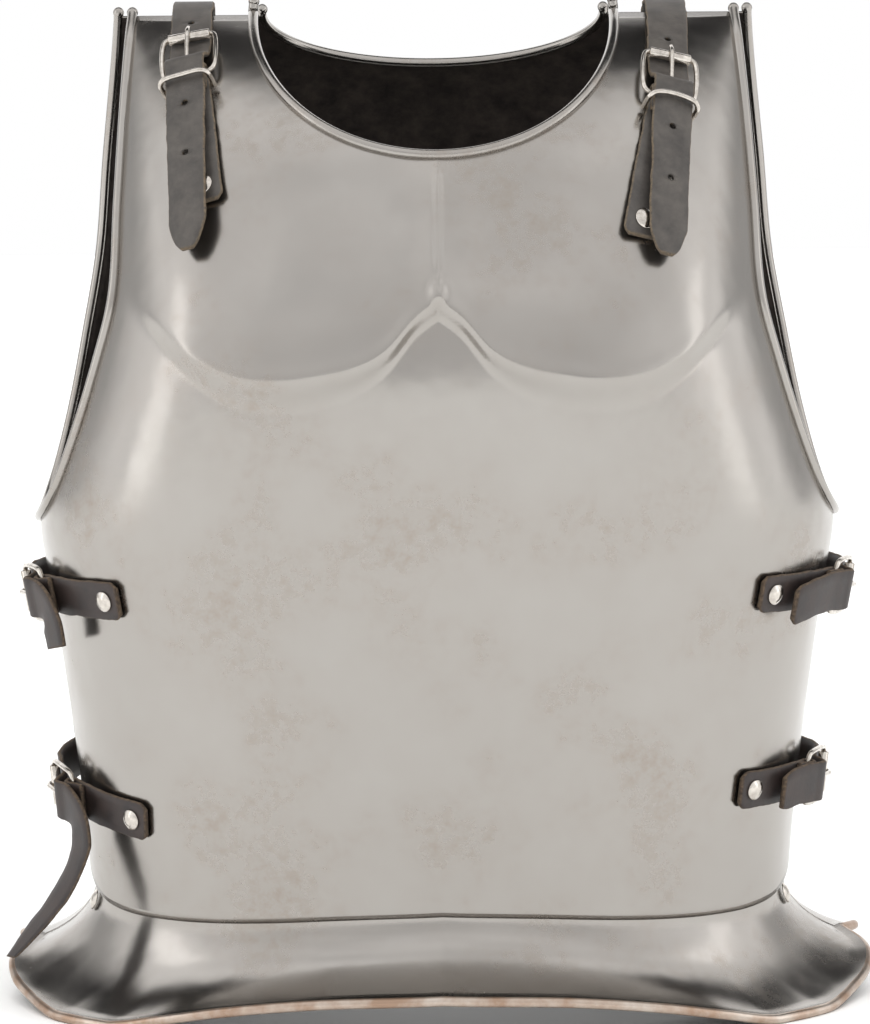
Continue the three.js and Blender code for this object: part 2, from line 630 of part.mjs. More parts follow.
// Tails as [distance past the heel, height over the loop, drop, half width, lean].
const tails = {
  short: [[10, 0.6, 1, wide], [16, 1.2, 5, wide, 30], [18, 1.4, 13, wide, 65], [17, 1, 24, wide * 0.88, 80]],
  long: [
    [10, 0.6, 1, wide], [17, 1.6, 7, wide, 35], [19, 3, 20, wide, 65], [19, 16, 40, wide * 0.9, 75],
    [18, 31, 54, wide * 0.7, 78], [17, 45, 66, wide * 0.3, 80],
  ],
  forward: [[14, -1, 0, wide], [24, -1.5, 1, wide], [31, -1.5, 2, wide * 0.8]],
  lapped: [[14, -1, 0, wide], [34, -1, 2, wide], [45, -0.8, 4, wide], [48, -0.8, 4, wide * 0.75]],
};
for (const { name, hand, rivetX, rivetZ, slope, roller, tail } of sides) {
  const rivetAngle = Math.abs(front.angleOf(rivetX, rivetZ));
  const around = [50, 60, 70, 79, 85, 89].map((a) => ({ surface: back, a, turn: 180 - a }))
    .concat([89, 85, 79, 72, 64, 56, 48, 40].map((a) => ({ surface: front, a, turn: a })));
  const height = (turn) => rivetZ + slope * (turn - rivetAngle) * 3;
  const path = route(around.map(({ surface, a, turn }) => {
    const { point, normal } = stop(surface, hand * a, height(turn));
    return { point: point.addScaledVector(normal, bow.height * Math.exp(-(((turn - 90) / bow.spread) ** 2))), normal };
  }), -hand);
  const rivetAt = path.where((p) => Math.abs(p.x), rivetX);
  buckledStrap(name, path, {
    roller: rivetAt - roller,
    chapeEnd: rivetAt + 9,
    tail: (heel) => tails[tail].map(([s, n, drop, half, lean]) => ({ s: heel + s, n: overLoop + n, w: -drop, half, lean })),
    backSteps: 10,
  });
}

// ---- Plates, flanges and their rivets ----

const flangeAngles = [0, 15, 29, 41, 50, 58, 65, 73, 81, 90];
const mirrored = (angles) => [...angles.slice(1).reverse().map((a) => -a), ...angles];
for (const [side, surface] of [['front', front], ['back', back]]) {
  const pins = [-1, 1].map((hand) => {
    const angle = hand * 82;
    const { point } = flangePoint(surface, angle, 0.15);
    const across = flangePoint(surface, angle + 1, 0.15).point.sub(flangePoint(surface, angle - 1, 0.15).point);
    const down = flangePoint(surface, angle, 0.25).point.sub(flangePoint(surface, angle, 0.05).point);
    const up = across.cross(down).multiplyScalar(surface.facing).normalize();
    return rivet(`${side}_flange_rivet_${hand < 0 ? 'left' : 'right'}`, point, up, chordSlack, wall);
  });
  place(`${side}_flange`, cut(flange(surface, mirrored(flangeAngles)), ...pins), 'steel');
}

// The thin ridge down the chest and the boss under it.
const chestRaised = (z) => front.out(0, z, chestHeight(0, z) - ridge.sunk);
const ridgeBar = bar(steps(ridge.low, ridge.high, 6).map(chestRaised), ridge.radius, 6);
const bossBall = new THREE.SphereGeometry(boss.radius, 8, 4);
bossBall.scale(0.85, boss.height / boss.radius, 1);
bossBall.translate(...front.out(0, boss.z, chestHeight(0, boss.z) - 0.5).toArray());

const frontHeights = [57, 135, 241, 244, 256, 274, 294, 309, 318, 328, 340, 351, 361, 382, 402, 424];
const backHeights = [57, 140, 241, 244, 255, 276, 320, 370, 410, 440, 464];
const breastplate = plateWall('front', front, frontArmEdge, frontHeights, 24, chestHeight);
const frontEdges = rolledEdges('front', front, frontArmEdge, 15, 10);
const joined = join(breastplate, ...frontEdges, ridgeBar, bare(bossBall));
place('breastplate', cut(joined, ...holes.front), 'steel');
const backplate = plateWall('back', back, backArmEdge, backHeights, 16, () => 0);
const backEdges = rolledEdges('back', back, backArmEdge, 11, 8);
place('backplate', cut(join(backplate, ...backEdges), ...holes.back), 'steel');

// The group sits with its foot on z = 0 and its middle over the origin.
const box = new THREE.Box3().setFromObject(group);
const middle = box.getCenter(new THREE.Vector3());
group.position.set(-middle.x, -middle.y, -box.min.z);

export default group;
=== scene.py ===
# %% [markdown]
# A steel cuirass: breastplate and backplate with flared waist flanges, buckled with straps.
# Each cell makes one kind of piece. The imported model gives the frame: where everything is.
# Sizes below are in millimetres, as a maker would give them, and become metres at the last step.

# %% The frame
import math

import bmesh
import bpy
import numpy as np
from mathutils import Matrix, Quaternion, Vector


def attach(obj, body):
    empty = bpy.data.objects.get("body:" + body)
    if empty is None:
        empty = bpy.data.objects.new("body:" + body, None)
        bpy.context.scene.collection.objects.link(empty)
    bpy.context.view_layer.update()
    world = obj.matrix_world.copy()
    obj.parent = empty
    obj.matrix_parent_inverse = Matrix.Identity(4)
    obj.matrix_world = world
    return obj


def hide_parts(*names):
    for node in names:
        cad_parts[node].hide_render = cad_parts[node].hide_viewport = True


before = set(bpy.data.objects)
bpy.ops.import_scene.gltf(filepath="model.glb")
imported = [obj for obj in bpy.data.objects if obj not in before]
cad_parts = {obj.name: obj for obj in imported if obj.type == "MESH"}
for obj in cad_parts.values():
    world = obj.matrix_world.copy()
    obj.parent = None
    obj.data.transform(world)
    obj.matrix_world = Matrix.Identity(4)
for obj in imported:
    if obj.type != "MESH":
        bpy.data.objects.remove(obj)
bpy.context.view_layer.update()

MM = 0.001

# %% [markdown]
# The plates are hammered over forms, so their shape is a smooth rule and not a free form. Each
# level section is a squared ellipse whose width, depth and squareness change slowly with height.
# One way would be to sculpt; a rule keeps both halves true to each other and to the solids.

# %% Sizes of the plates
WALL = 1.2                       # sheet steel
BEAD = 2.5                       # radius of a rolled edge
SIDE_GAP = 2                     # between the two plates where they meet
ARMPIT = 241                     # height where the arm edge meets the side edge
SHOULDER_TOP = 490
CENTRE = (0.0, 6.741)            # moves the shapes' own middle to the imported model's
NECK_BOTTOM = {"front": 424, "back": 464}
NECK_HALF = {"front": 89, "back": 86}
FACING = {"front": -1, "back": 1}
SECTIONS = {
    "front": {
        "z": (40, 64, 110, 160, 205, 241, 283, 325, 360, 395, 424, 450, 470, 483, 491),
        "width": (177, 178, 182, 188, 194, 199, 190, 178, 170, 165, 162, 160, 158, 157, 156),
        "depth": (116, 118, 125, 134, 142, 147, 152, 154, 149, 135, 115, 90, 63, 38, 16),
        "power": (2.35, 2.35, 2.35, 2.35, 2.4, 2.45, 2.5, 2.55, 2.6, 2.6, 2.6, 2.55, 2.5, 2.5, 2.5),
    },
    "back": {
        "z": (40, 64, 125, 205, 245, 290, 330, 380, 425, 455, 475, 491),
        "width": (178, 178, 185, 194.5, 199.5, 193, 186, 180, 175, 171, 168, 166),
        "depth": (108, 109, 113, 118, 120, 121, 120, 114, 100, 78, 52, 16),
        "power": (2.3, 2.3, 2.3, 2.3, 2.35, 2.4, 2.45, 2.5, 2.5, 2.5, 2.5, 2.5),
    },
}
ARM_EDGE = {
    "front": {
        "z": (241, 255, 283, 325, 355, 400, 430, 490),
        "x": (199, 190, 178, 164, 156, 153.5, 152, 149),
    },
    "back": {
        "z": (241, 262, 290, 330, 370, 420, 490),
        "x": (199.4, 193, 186, 178, 171, 166, 157),
    },
}
WAIST = {
    "angle": (0, 24, 39, 48, 57, 66, 73, 78, 83, 90),
    "edge": (57, 55, 52.5, 51, 50, 50, 52, 56, 62, 74),
    "crease": (57, 54.5, 52, 50.5, 50, 50, 51, 52.5, 54, 57),
    "flare": (37, 37, 37.5, 38, 40, 43, 43, 45, 43, 31),
    "foot": (21.5, 18.5, 12.5, 6.5, 0, 0, 4.5, 10, 16, 20.5),
}
CHEST_BORDER = {
    "x": (0, 11, 24, 38, 58, 76, 98, 117, 131, 150),
    "z": (353, 345, 330, 321, 315, 313, 316, 327, 340, 357),
}
MUSCLE = {"height": 6, "fade": 85, "outer": (112, 152), "crisp": 4.5, "softer": 3.5}
CREST = {"height": 0.7, "width": 5, "outer": (95, 140)}
RIDGE = {"height": 0.9, "width": 1.6, "low": (364, 376), "high": (408, 424)}
BOSS = {"height": 2.2, "z": 361, "across": 5.0, "along": 6.2, "flatness": 1.4, "fall": 1.6}


def sample(table, key, column, at):
    """Cubic curve through a table's rows, for one value or an array."""
    keys = np.asarray(table[key], float)
    values = np.asarray(table[column], float)
    at = np.clip(np.asarray(at, float), keys[0], keys[-1])
    i = np.clip(np.searchsorted(keys, at, side="left") - 1, 0, len(keys) - 2)
    slopes = np.diff(values) / np.diff(keys)
    padded = np.concatenate([slopes[:1], slopes, slopes[-1:]])
    ends = (padded[:-1] + padded[1:]) / 2
    step = keys[i + 1] - keys[i]
    f = (at - keys[i]) / step
    g = 1 - f
    bend = f * g * step * (g * (ends[i] - slopes[i]) + f * (slopes[i] - ends[i + 1]))
    return g * values[i] + f * values[i + 1] + bend


print("waist half width", sample(SECTIONS["front"], "z", "width", 64))

# %% [markdown]
# A point on a plate is an angle round the body and a height. From these follow the outer face, the
# way it faces, and how far the embossing lifts it. An armourer raises the muscles from inside over
# a sandbag, so they are a smooth lift of the same sheet: crisp at the V, soft towards the arms.

# %% The plates' surface


def unit(v):
    return v / np.maximum(np.linalg.norm(v, axis=-1, keepdims=True), 1e-9)


def surface(side, degrees, z):
    """Points of a plate's plain outer face. The angle runs from the middle (0) to the side edge (90)."""
    degrees, z = np.broadcast_arrays(np.asarray(degrees, float), np.asarray(z, float))
    width, depth, power = (sample(SECTIONS[side], "z", c, z) for c in ("width", "depth", "power"))
    s, c = np.sin(np.radians(degrees)), np.cos(np.radians(degrees))
    reach = (np.abs(s / width) ** power + np.abs(c / depth) ** power) ** (-1 / power)
    y = FACING[side] * (reach * c + SIDE_GAP / 2)
    return np.stack([reach * s, y, z], axis=-1)


def angle_of(side, x, z):
    width, depth, power = (sample(SECTIONS[side], "z", c, z) for c in ("width", "depth", "power"))
    part = np.minimum(np.abs(x / width), 1)
    y = depth * (1 - part ** power) ** (1 / power)
    return np.sign(x) * np.degrees(np.arctan2(np.abs(x), y))


def facing_out(side, degrees, z):
    across = surface(side, degrees + 0.5, z) - surface(side, degrees - 0.5, z)
    up = surface(side, degrees, z + 0.5) - surface(side, degrees, z - 0.5)
    return unit(np.cross(across, up)) * -FACING[side]


def smooth(value, low, high):
    f = np.clip((value - low) / (high - low), 0, 1)
    return f * f * (3 - 2 * f)


def chest(x, z):
    """Height of the embossed chest over the plain face: muscles, middle ridge and boss."""
    aside = np.abs(x)
    over = z - sample(CHEST_BORDER, "x", "z", aside)
    soft = MUSCLE["crisp"] + MUSCLE["softer"] * smooth(aside, 10, 60)
    rise = smooth(over, -soft, soft) * (1 - smooth(over, 0, MUSCLE["fade"]))
    muscle = MUSCLE["height"] * rise * (1 - smooth(aside, *MUSCLE["outer"]))
    rim = np.exp(-(((over - soft) / CREST["width"]) ** 2))
    crest = CREST["height"] * rim * (1 - smooth(aside, *CREST["outer"]))
    along = smooth(z, *RIDGE["low"]) * (1 - smooth(z, *RIDGE["high"]))
    ridge = RIDGE["height"] * along * np.exp(-((x / RIDGE["width"]) ** 2))
    r2 = (x / BOSS["across"]) ** 2 + ((z - BOSS["z"]) / BOSS["along"]) ** 2
    boss = BOSS["height"] * np.exp(-(r2 ** BOSS["flatness"]) * BOSS["fall"])
    return muscle + crest + ridge + boss


def metres(points):
    return (np.asarray(points, float) + (*CENTRE, 0)) * MM


print("chest rises", round(float(chest(np.array(60.0), np.array(322.0))), 2), "mm")

# %% [markdown]
# Every piece is made from rows of points. A loft joins rings of points into a closed skin, and a
# sheet gives a grid of points a real wall. Both leave plain meshes whose faces look outward.

# %% Mesh helpers


def new_piece(name, data):
    piece = bpy.data.objects.new(name, data)
    bpy.context.scene.collection.objects.link(piece)
    return piece


def discard(piece):
    mesh = piece.data
    bpy.data.objects.remove(piece)
    bpy.data.meshes.remove(mesh)


def mesh_from(name, points, faces):
    mesh = bpy.data.meshes.new(name)
    mesh.from_pydata(np.asarray(points).tolist(), [], [tuple(f) for f in faces])
    mesh.polygons.foreach_set("use_smooth", [True] * len(mesh.polygons))
    mesh.update()
    return new_piece(name, mesh)


def outward(piece):
    """Turns a closed mesh's faces outward and merges its doubles."""
    bm = bmesh.new()
    bm.from_mesh(piece.data)
    bmesh.ops.remove_doubles(bm, verts=bm.verts, dist=1e-6)
    bmesh.ops.recalc_face_normals(bm, faces=bm.faces)
    if bm.calc_volume(signed=True) < 0:
        bmesh.ops.reverse_faces(bm, faces=bm.faces)
    bm.to_mesh(piece.data)
    bm.free()
    return piece


def joined(name, parts):
    """One piece from several, in plain mesh data."""
    bm = bmesh.new()
    for part in parts:
        bm.from_mesh(part.data)
        discard(part)
    mesh = bpy.data.meshes.new(name)
    bm.to_mesh(mesh)
    bm.free()
    return new_piece(name, mesh)


def loft(name, rings, closed=False):
    """A closed skin through rings of equal length, with fanned end caps."""
    count = len(rings[0])
    points = [p for ring in rings for p in ring]
    last = len(rings) if closed else len(rings) - 1
    faces = []
    for j in range(last):
        here, there = j * count, ((j + 1) % len(rings)) * count
        for i in range(count):
            k = (i + 1) % count
            faces.append((here + i, here + k, there + k, there + i))
    if not closed:
        faces.append(tuple(range(count))[::-1])
        faces.append(tuple((len(rings) - 1) * count + i for i in range(count)))
    return outward(mesh_from(name, points, faces))


def sheet(name, side, grids, relief):
    """A closed sheet from grids of (angle, height), joined where they share points."""
    outer, inner = [], []
    for angle, z in grids:
        base, out = surface(side, angle, z), facing_out(side, angle, z)
        lift = relief(base[..., 0], z)[..., None]
        outer.append(base + out * lift)
        inner.append(base + out * (lift - WALL))
    flat_outer = np.concatenate([g.reshape(-1, 3) for g in outer])
    flat_inner = np.concatenate([g.reshape(-1, 3) for g in inner])
    rounded = np.round(flat_outer, 3)
    keys, first, ids = np.unique(rounded, axis=0, return_index=True, return_inverse=True)
    ids = ids.reshape(-1)
    quads, start = [], 0
    for g in outer:
        rows, columns = g.shape[:2]
        grid = ids[start:start + rows * columns].reshape(rows, columns)
        corners = [grid[:-1, :-1], grid[:-1, 1:], grid[1:, 1:], grid[1:, :-1]]
        quads.append(np.stack(corners, -1).reshape(-1, 4))
        start += rows * columns
    quads = np.concatenate(quads)
    edges = np.concatenate([quads[:, [i, (i + 1) % 4]] for i in range(4)])
    edges = edges[edges[:, 0] != edges[:, 1]]
    known = {tuple(e) for e in edges.tolist()}
    rim = [(a, b) for a, b in known if (b, a) not in known]
    count = len(keys)
    faces = []
    for quad in quads.tolist():
        corners = list(dict.fromkeys(quad))
        if len(corners) > 2:
            faces.append(tuple(corners))
            faces.append(tuple(c + count for c in reversed(corners)))
    faces += [(b, a, a + count, b + count) for a, b in rim]
    points = metres(np.concatenate([flat_outer[first], flat_inner[first]]))
    return outward(mesh_from(name, points, faces))


def darken_hollow(piece, dark):
    """Gives the dark finish to faces that look towards the body's middle."""
    chest_level = 0.3
    for face in piece.data.polygons:
        middle = Vector((0, CENTRE[1] * MM, min(face.center.z, chest_level)))
        face.material_index = dark if (face.center - middle).dot(face.normal) < 0 else 0


print("helpers ready")

# %% [markdown]
# Materials are node trees. One helper adds a node, sets its values and links what is passed as a
# socket, so each finish below reads as a short recipe. Colours are given as screen hex values and
# turned to linear light once. Patterns read Object coordinates, which are metres here, so a scale
# of 1000 / (size in mm) repeats once in that size.

# %% Material helpers


def colour(code):
    """Hex screen colour to linear light."""
    parts = [int(code[i:i + 2], 16) / 255 for i in (1, 3, 5)]
    return tuple(c / 12.92 if c <= 0.04045 else ((c + 0.055) / 1.055) ** 2.4 for c in parts) + (1.0,)


def add(tree, kind, values=None, **settings):
    """Adds a node with its settings; a value that is a socket is linked to that input."""
    node = tree.nodes.new(kind)
    for key, setting in settings.items():
        setattr(node, key, setting)
    for key, value in (values or {}).items():
        if isinstance(value, bpy.types.NodeSocket):
            tree.links.new(value, node.inputs[key])
        else:
            node.inputs[key].default_value = value
    return node


MIX_FIRST, MIX_SECOND, MIX_RESULT = 6, 7, 2    # the colour sockets of a Mix node


def per_mm(size):
    """Texture scale whose pattern is about this many millimetres across."""
    return 1000 / size


def new_material(name):
    material = bpy.data.materials.new(name)
    material.use_nodes = True
    material.node_tree.nodes.clear()
    tree = material.node_tree
    place = add(tree, "ShaderNodeTexCoord").outputs["Object"]
    return material, tree, place


def ramp(tree, factor, stops):
    """A colour ramp through (position, hex or grey) stops."""
    node = add(tree, "ShaderNodeValToRGB", {"Fac": factor})
    for i, (position, value) in enumerate(stops):
        if i > 1:
            node.color_ramp.elements.new(position)
        element = node.color_ramp.elements[i]
        element.position = position
        element.color = colour(value) if isinstance(value, str) else (value, value, value, 1)
    return node.outputs["Color"]


def noise(tree, place, size, detail, roughness=0.5):
    """Cloudy noise with patches of about this many millimetres."""
    values = {"Vector": place, "Scale": per_mm(size), "Detail": detail, "Roughness": roughness}
    return add(tree, "ShaderNodeTexNoise", values).outputs["Fac"]


def maths(tree, operation, *values):
    return add(tree, "ShaderNodeMath", dict(enumerate(values)), operation=operation).outputs[0]


def spread(tree, value, low, high, start=0.0, stop=1.0):
    """Carries a value that runs from start to stop over to the range from low to high."""
    values = {"Value": value, "From Min": start, "From Max": stop, "To Min": low, "To Max": high}
    return add(tree, "ShaderNodeMapRange", values).outputs[0]


def mix(tree, factor, first, second, blend="MIX"):
    """Mixes two colours, each a value or a socket."""
    values = {"Factor": factor, MIX_FIRST: first, MIX_SECOND: second}
    node = add(tree, "ShaderNodeMix", values, data_type="RGBA", blend_type=blend)
    return node.outputs[MIX_RESULT]


def bump(tree, height, strength, distance, under=None):
    """Bends the normal by a height, over an earlier bump if there is one. Distance in metres."""
    values = {"Height": height, "Strength": strength, "Distance": distance}
    if under is not None:
        values["Normal"] = under
    return add(tree, "ShaderNodeBump", values).outputs["Normal"]


def finish_with(tree, values):
    """Gives a material its surface."""
    shader = add(tree, "ShaderNodeBsdfPrincipled", values)
    add(tree, "ShaderNodeOutputMaterial", {"Surface": shader.outputs[0]})


print("1 mm pattern has scale", per_mm(1))

# %% [markdown]
# Sheet steel, polished with a soft wheel: bright, but with a fine haze, faint wheel marks, shallow
# hammer waves that bend what it mirrors, and brownish tarnish in patches. The waves are low bumps,
# the marks are noise stretched along the height, and tarnish darkens colour and roughens.

# %% Polished steel


def polished_steel():
    material, tree, place = new_material("polished_sheet_steel")
    cloud = noise(tree, place, 60, 5.0, 0.6)
    speck = noise(tree, place, 7, 6.0, 0.7)
    stretch = add(tree, "ShaderNodeMapping", {"Vector": place, "Scale": (1.0, 1.0, 0.06)})
    marks = noise(tree, stretch.outputs["Vector"], 1.2, 3.0)
    stain = ramp(tree, cloud, [(0.48, 0.0), (0.8, 1.0)])
    fleck = ramp(tree, speck, [(0.45, 0.0), (0.8, 1.0)])
    tarnish = maths(tree, "MULTIPLY", stain, fleck)
    base = mix(tree, cloud, colour("#ACA9A5"), colour("#A29C96"))
    tinted = mix(tree, tarnish, base, colour("#958576"))
    rough = spread(tree, cloud, 0.17, 0.29, 0.3, 0.7)
    rougher = maths(tree, "MULTIPLY_ADD", tarnish, 0.18, rough)
    waves = noise(tree, place, 34, 2.0)
    wavy = bump(tree, waves, 0.5, 0.0012)
    fine = bump(tree, marks, 0.12, 0.00008, wavy)
    finish_with(tree, {"Base Color": tinted, "Metallic": 1.0, "Roughness": rougher, "Normal": fine})
    return material


STEEL = polished_steel()


def dark_dull_steel():
    """Dark, dull steel that hardly mirrors, for the faces that look towards the body's middle."""
    material, tree, place = new_material("dark_dull_inner_steel")
    scale = noise(tree, place, 14, 6.0, 0.7)
    shade = ramp(tree, scale, [(0.35, "#2A2523"), (0.65, "#4A423D")])
    pits = bump(tree, scale, 0.4, 0.0003)
    finish_with(tree, {"Base Color": shade, "Metallic": 0.6, "Roughness": 0.55, "Normal": pits})
    return material


def rim_floor_reflection_steel():
    """The rim that the piece is carried and stood by: worn smooth, with the beige-brown of the floor it
    mirrors painted into its colour, a painted reflection.
    """
    material, tree, place = new_material("rim_steel_painted_floor_reflection")
    rim_mottle = noise(tree, place, 18, 6.0, 0.6)
    # painted reflection: the beige-brown of the mirrored floor, painted into the rim's colour
    shade = ramp(tree, rim_mottle, [(0.35, "#C9BDB2"), (0.6, "#A98F7C")])
    rough = spread(tree, rim_mottle, 0.2, 0.5)
    finish_with(tree, {"Base Color": shade, "Metallic": 1.0, "Roughness": rough})
    return material


DARK_STEEL = dark_dull_steel()
RIM_FLOOR_REFLECTION_STEEL = rim_floor_reflection_steel()

# %% [markdown]
# Nickel-plated wire and rivets: yellowish white metal, smooth, with a little dulling.

# %% Nickel plate


def nickel_plate():
    material, tree, place = new_material("nickel_plated_wire")
    dull = noise(tree, place, 3, 4.0)
    rough = spread(tree, dull, 0.1, 0.3)
    shade = ramp(tree, dull, [(0.3, "#DAD4CC"), (0.7, "#B9B2AA")])
    dents = bump(tree, dull, 0.3, 0.0001)
    finish_with(tree, {"Base Color": shade, "Metallic": 1.0, "Roughness": rough, "Normal": dents})
    return material


NICKEL = nickel_plate()

# %% [markdown]
# Bridle leather: dyed and waxed on the grain side, so it has a soft sheen, fine pebbled grain and
# cracks where it bends. The cut edges are raw and show the paler, fibrous core. The strips carry
# an attribute named raw, 1 on cut edges and 0 on the faces, that the material mixes by.

# %% Leather


def bridle_leather(name, face, worn, core):
    material, tree, place = new_material(name)
    raw = add(tree, "ShaderNodeAttribute", attribute_name="raw").outputs["Fac"]
    patch = noise(tree, place, 12, 5.0, 0.65)
    grain = add(tree, "ShaderNodeTexVoronoi", {"Vector": place, "Scale": per_mm(0.7)})
    crack = noise(tree, place, 1.6, 8.0, 0.75)
    body = ramp(tree, patch, [(0.35, face), (0.7, worn)])
    edge = ramp(tree, crack, [(0.35, face), (0.62, core)])
    mixed = mix(tree, raw, body, edge)
    rough = spread(tree, patch, 0.38, 0.62)
    dry = maths(tree, "MULTIPLY_ADD", raw, 0.35, rough)
    pebble = bump(tree, grain.outputs["Distance"], 0.35, 0.00012)
    cracked = bump(tree, crack, 0.5, 0.0003, pebble)
    finish_with(tree, {"Base Color": mixed, "Roughness": dry, "IOR": 1.5, "Normal": cracked})
    return material


SHOULDER_HIDE = bridle_leather("waxed_bridle_leather_grey_brown", "#3A3633", "#55504B", "#7A6A55")
SIDE_HIDE = bridle_leather("waxed_bridle_leather_dark_brown", "#231C1B", "#3B302C", "#6A5947")
print("materials:", [m.name for m in bpy.data.materials])

# %% [markdown]
# The plates. Rows run level over the body; over each shoulder they run from the neck edge to the
# arm edge, closer together at the bottom of the neck where its edge runs level. Columns crowd
# towards the middle, where the thin ridge needs them.

# %% Plate grids
CROWDING = 0.38
LIFT_FADE = 70                   # the rows run level again this far above the waist edge
ROW_EASE = 1.25                  # rows close up above the armpit


def arm_angle(side, z):
    edge = angle_of(side, sample(ARM_EDGE[side], "z", "x", z), z)
    return np.where(z <= ARMPIT, 90.0, edge)


def neck_x(side, z):
    rise = (z - NECK_BOTTOM[side]) / (SHOULDER_TOP - NECK_BOTTOM[side])
    return NECK_HALF[side] * np.sqrt(np.clip(1 - (1 - rise) ** 2, 0, 1))


def crowded(count):
    """Even steps from -1 to 1, drawn in towards the middle."""
    t = np.linspace(-1, 1, count + 1)
    return (1 - CROWDING) * t + CROWDING * t ** 3


def waist_lift(angle, base):
    """Lets the lowest rows follow the waist edge."""
    lift = sample(WAIST, "angle", "edge", np.abs(angle)) - WAIST["edge"][0]
    return base + lift * np.clip(1 - (base - WAIST["edge"][0]) / LIFT_FADE, 0, 1)


def body_heights(side, levels):
    low = WAIST["edge"][0]
    under = np.linspace(low, ARMPIT, levels // 3)
    f = np.linspace(0, 1, 2 * levels // 3)
    over = ARMPIT + (NECK_BOTTOM[side] - ARMPIT) * f ** ROW_EASE
    return np.unique(np.concatenate([under, over]))


def plate_grids(side, columns, levels):
    z = body_heights(side, levels)[:, None]
    angle = arm_angle(side, z) * crowded(columns)[None, :]
    grids = [(angle, waist_lift(angle, z))]
    f = np.linspace(0, 1, levels // 4)[:, None]
    z = NECK_BOTTOM[side] + (SHOULDER_TOP - NECK_BOTTOM[side]) * f ** 2
    part = crowded(columns)[columns // 2:][None, :]
    inside = angle_of(side, neck_x(side, z), z)
    angle = inside + (arm_angle(side, z) - inside) * part
    z = z + 0 * angle
    grids.append((angle, z))
    grids.append((-angle[:, ::-1], z))
    return grids


def plain(x, z):
    return 0 * x * z


# %% [markdown]
# The rolled edges are the sheet's rim turned over a wire. Here a curve along each edge carries a
# round section, made with Geometry Nodes so that every edge shares one recipe.

# %% Round bars along paths


def node_group(name, *inputs):
    """A group from geometry to geometry, with these inputs besides."""
    tree = bpy.data.node_groups.new(name, "GeometryNodeTree")
    for label, kind in (("Geometry", "Geometry"), *inputs, ("Finish", "Material")):
        tree.interface.new_socket(label, in_out="INPUT", socket_type=f"NodeSocket{kind}")
    tree.interface.new_socket("Geometry", in_out="OUTPUT", socket_type="NodeSocketGeometry")
    return tree, add(tree, "NodeGroupInput").outputs


def paint(tree, geometry, finish):
    """Makes instances real, gives them their material and ends the group."""
    real = add(tree, "GeometryNodeRealizeInstances", {"Geometry": geometry})
    values = {"Geometry": real.outputs[0], "Material": finish}
    painted = add(tree, "GeometryNodeSetMaterial", values)
    add(tree, "NodeGroupOutput", {"Geometry": painted.outputs[0]})


def bar_tree():
    tree, given = node_group("round_bar_along_path", ("Radius", "Float"), ("Sides", "Int"))
    path = add(tree, "GeometryNodeMeshToCurve", {"Mesh": given["Geometry"]})
    size = {"Resolution": given["Sides"], "Radius": given["Radius"]}
    ring = add(tree, "GeometryNodeCurvePrimitiveCircle", size)
    skin = add(tree, "GeometryNodeCurveToMesh", {
        "Curve": path.outputs[0], "Profile Curve": ring.outputs[0], "Fill Caps": True})
    soft = add(tree, "GeometryNodeSetShadeSmooth", {"Geometry": skin.outputs[0]})
    paint(tree, soft.outputs[0], given["Finish"])
    return tree


BAR_TREE = bar_tree()


def run_nodes(name, carrier, tree, values):
    """Evaluates a node tree on a carrier object and keeps the result as a plain mesh piece."""
    modifier = carrier.modifiers.new(tree.name, "NODES")
    modifier.node_group = tree
    for item in tree.interface.items_tree:
        if item.in_out == "INPUT" and item.name in values:
            modifier[item.identifier] = values[item.name]
    bpy.context.view_layer.update()
    evaluated = carrier.evaluated_get(bpy.context.evaluated_depsgraph_get())
    piece = new_piece(name, bpy.data.meshes.new_from_object(evaluated))
    discard(carrier)
    return piece


def polyline(lines, closed=False):
    """A carrier of edges through each line of points, in metres."""
    points, edges = [], []
    for line in lines:
        start = len(points)
        points += [tuple(p) for p in line]
        edges += [(start + i, start + i + 1) for i in range(len(line) - 1)]
        if closed:
            edges.append((start + len(line) - 1, start))
    mesh = bpy.data.meshes.new("path")
    mesh.from_pydata(points, edges, [])
    return new_piece("path", mesh)


def bars(name, lines, radius, finish, closed=False, sides=12):
    values = {"Radius": radius * MM, "Sides": sides, "Finish": finish}
    return outward(run_nodes(name, polyline(lines, closed), BAR_TREE, values))


# %% [markdown]
# The neck's edge is a half ellipse that runs a little past the shoulder line. The arm's edge climbs
# from the armpit to the shoulder. Each end of a rolled edge at the shoulders is closed with a small knob.

# %% The rolled edges' centre lines
PROUD = 0.6                      # how far a rolled edge stands out of the sheet
NECK_TURN = 96                   # degrees to each side of the neck's lowest point
ARM_EASE = 1.7                   # points close up at the armpit, where the edge bends most


def neck_line(side, count=150):
    turn = np.radians(np.linspace(-NECK_TURN, NECK_TURN, count))
    x = NECK_HALF[side] * np.sin(turn)
    z = SHOULDER_TOP - (SHOULDER_TOP - NECK_BOTTOM[side]) * np.cos(turn)
    angle = angle_of(side, x, z)
    return metres(surface(side, angle, z) + facing_out(side, angle, z) * PROUD)


def arm_line(side, hand, count=130):
    f = np.linspace(0, 1, count)
    z = ARMPIT + 0.2 + (SHOULDER_TOP + 1.5 - ARMPIT) * f ** ARM_EASE
    angle = hand * arm_angle(side, z)
    return metres(surface(side, angle, z) + facing_out(side, angle, z) * PROUD)


def knob(name, centre, radius):
    bm = bmesh.new()
    bmesh.ops.create_uvsphere(bm, u_segments=16, v_segments=10, radius=radius * MM)
    bmesh.ops.translate(bm, verts=bm.verts, vec=Vector(centre))
    mesh = bpy.data.meshes.new(name)
    bm.to_mesh(mesh)
    bm.free()
    mesh.polygons.foreach_set("use_smooth", [True] * len(mesh.polygons))
    return new_piece(name, mesh)


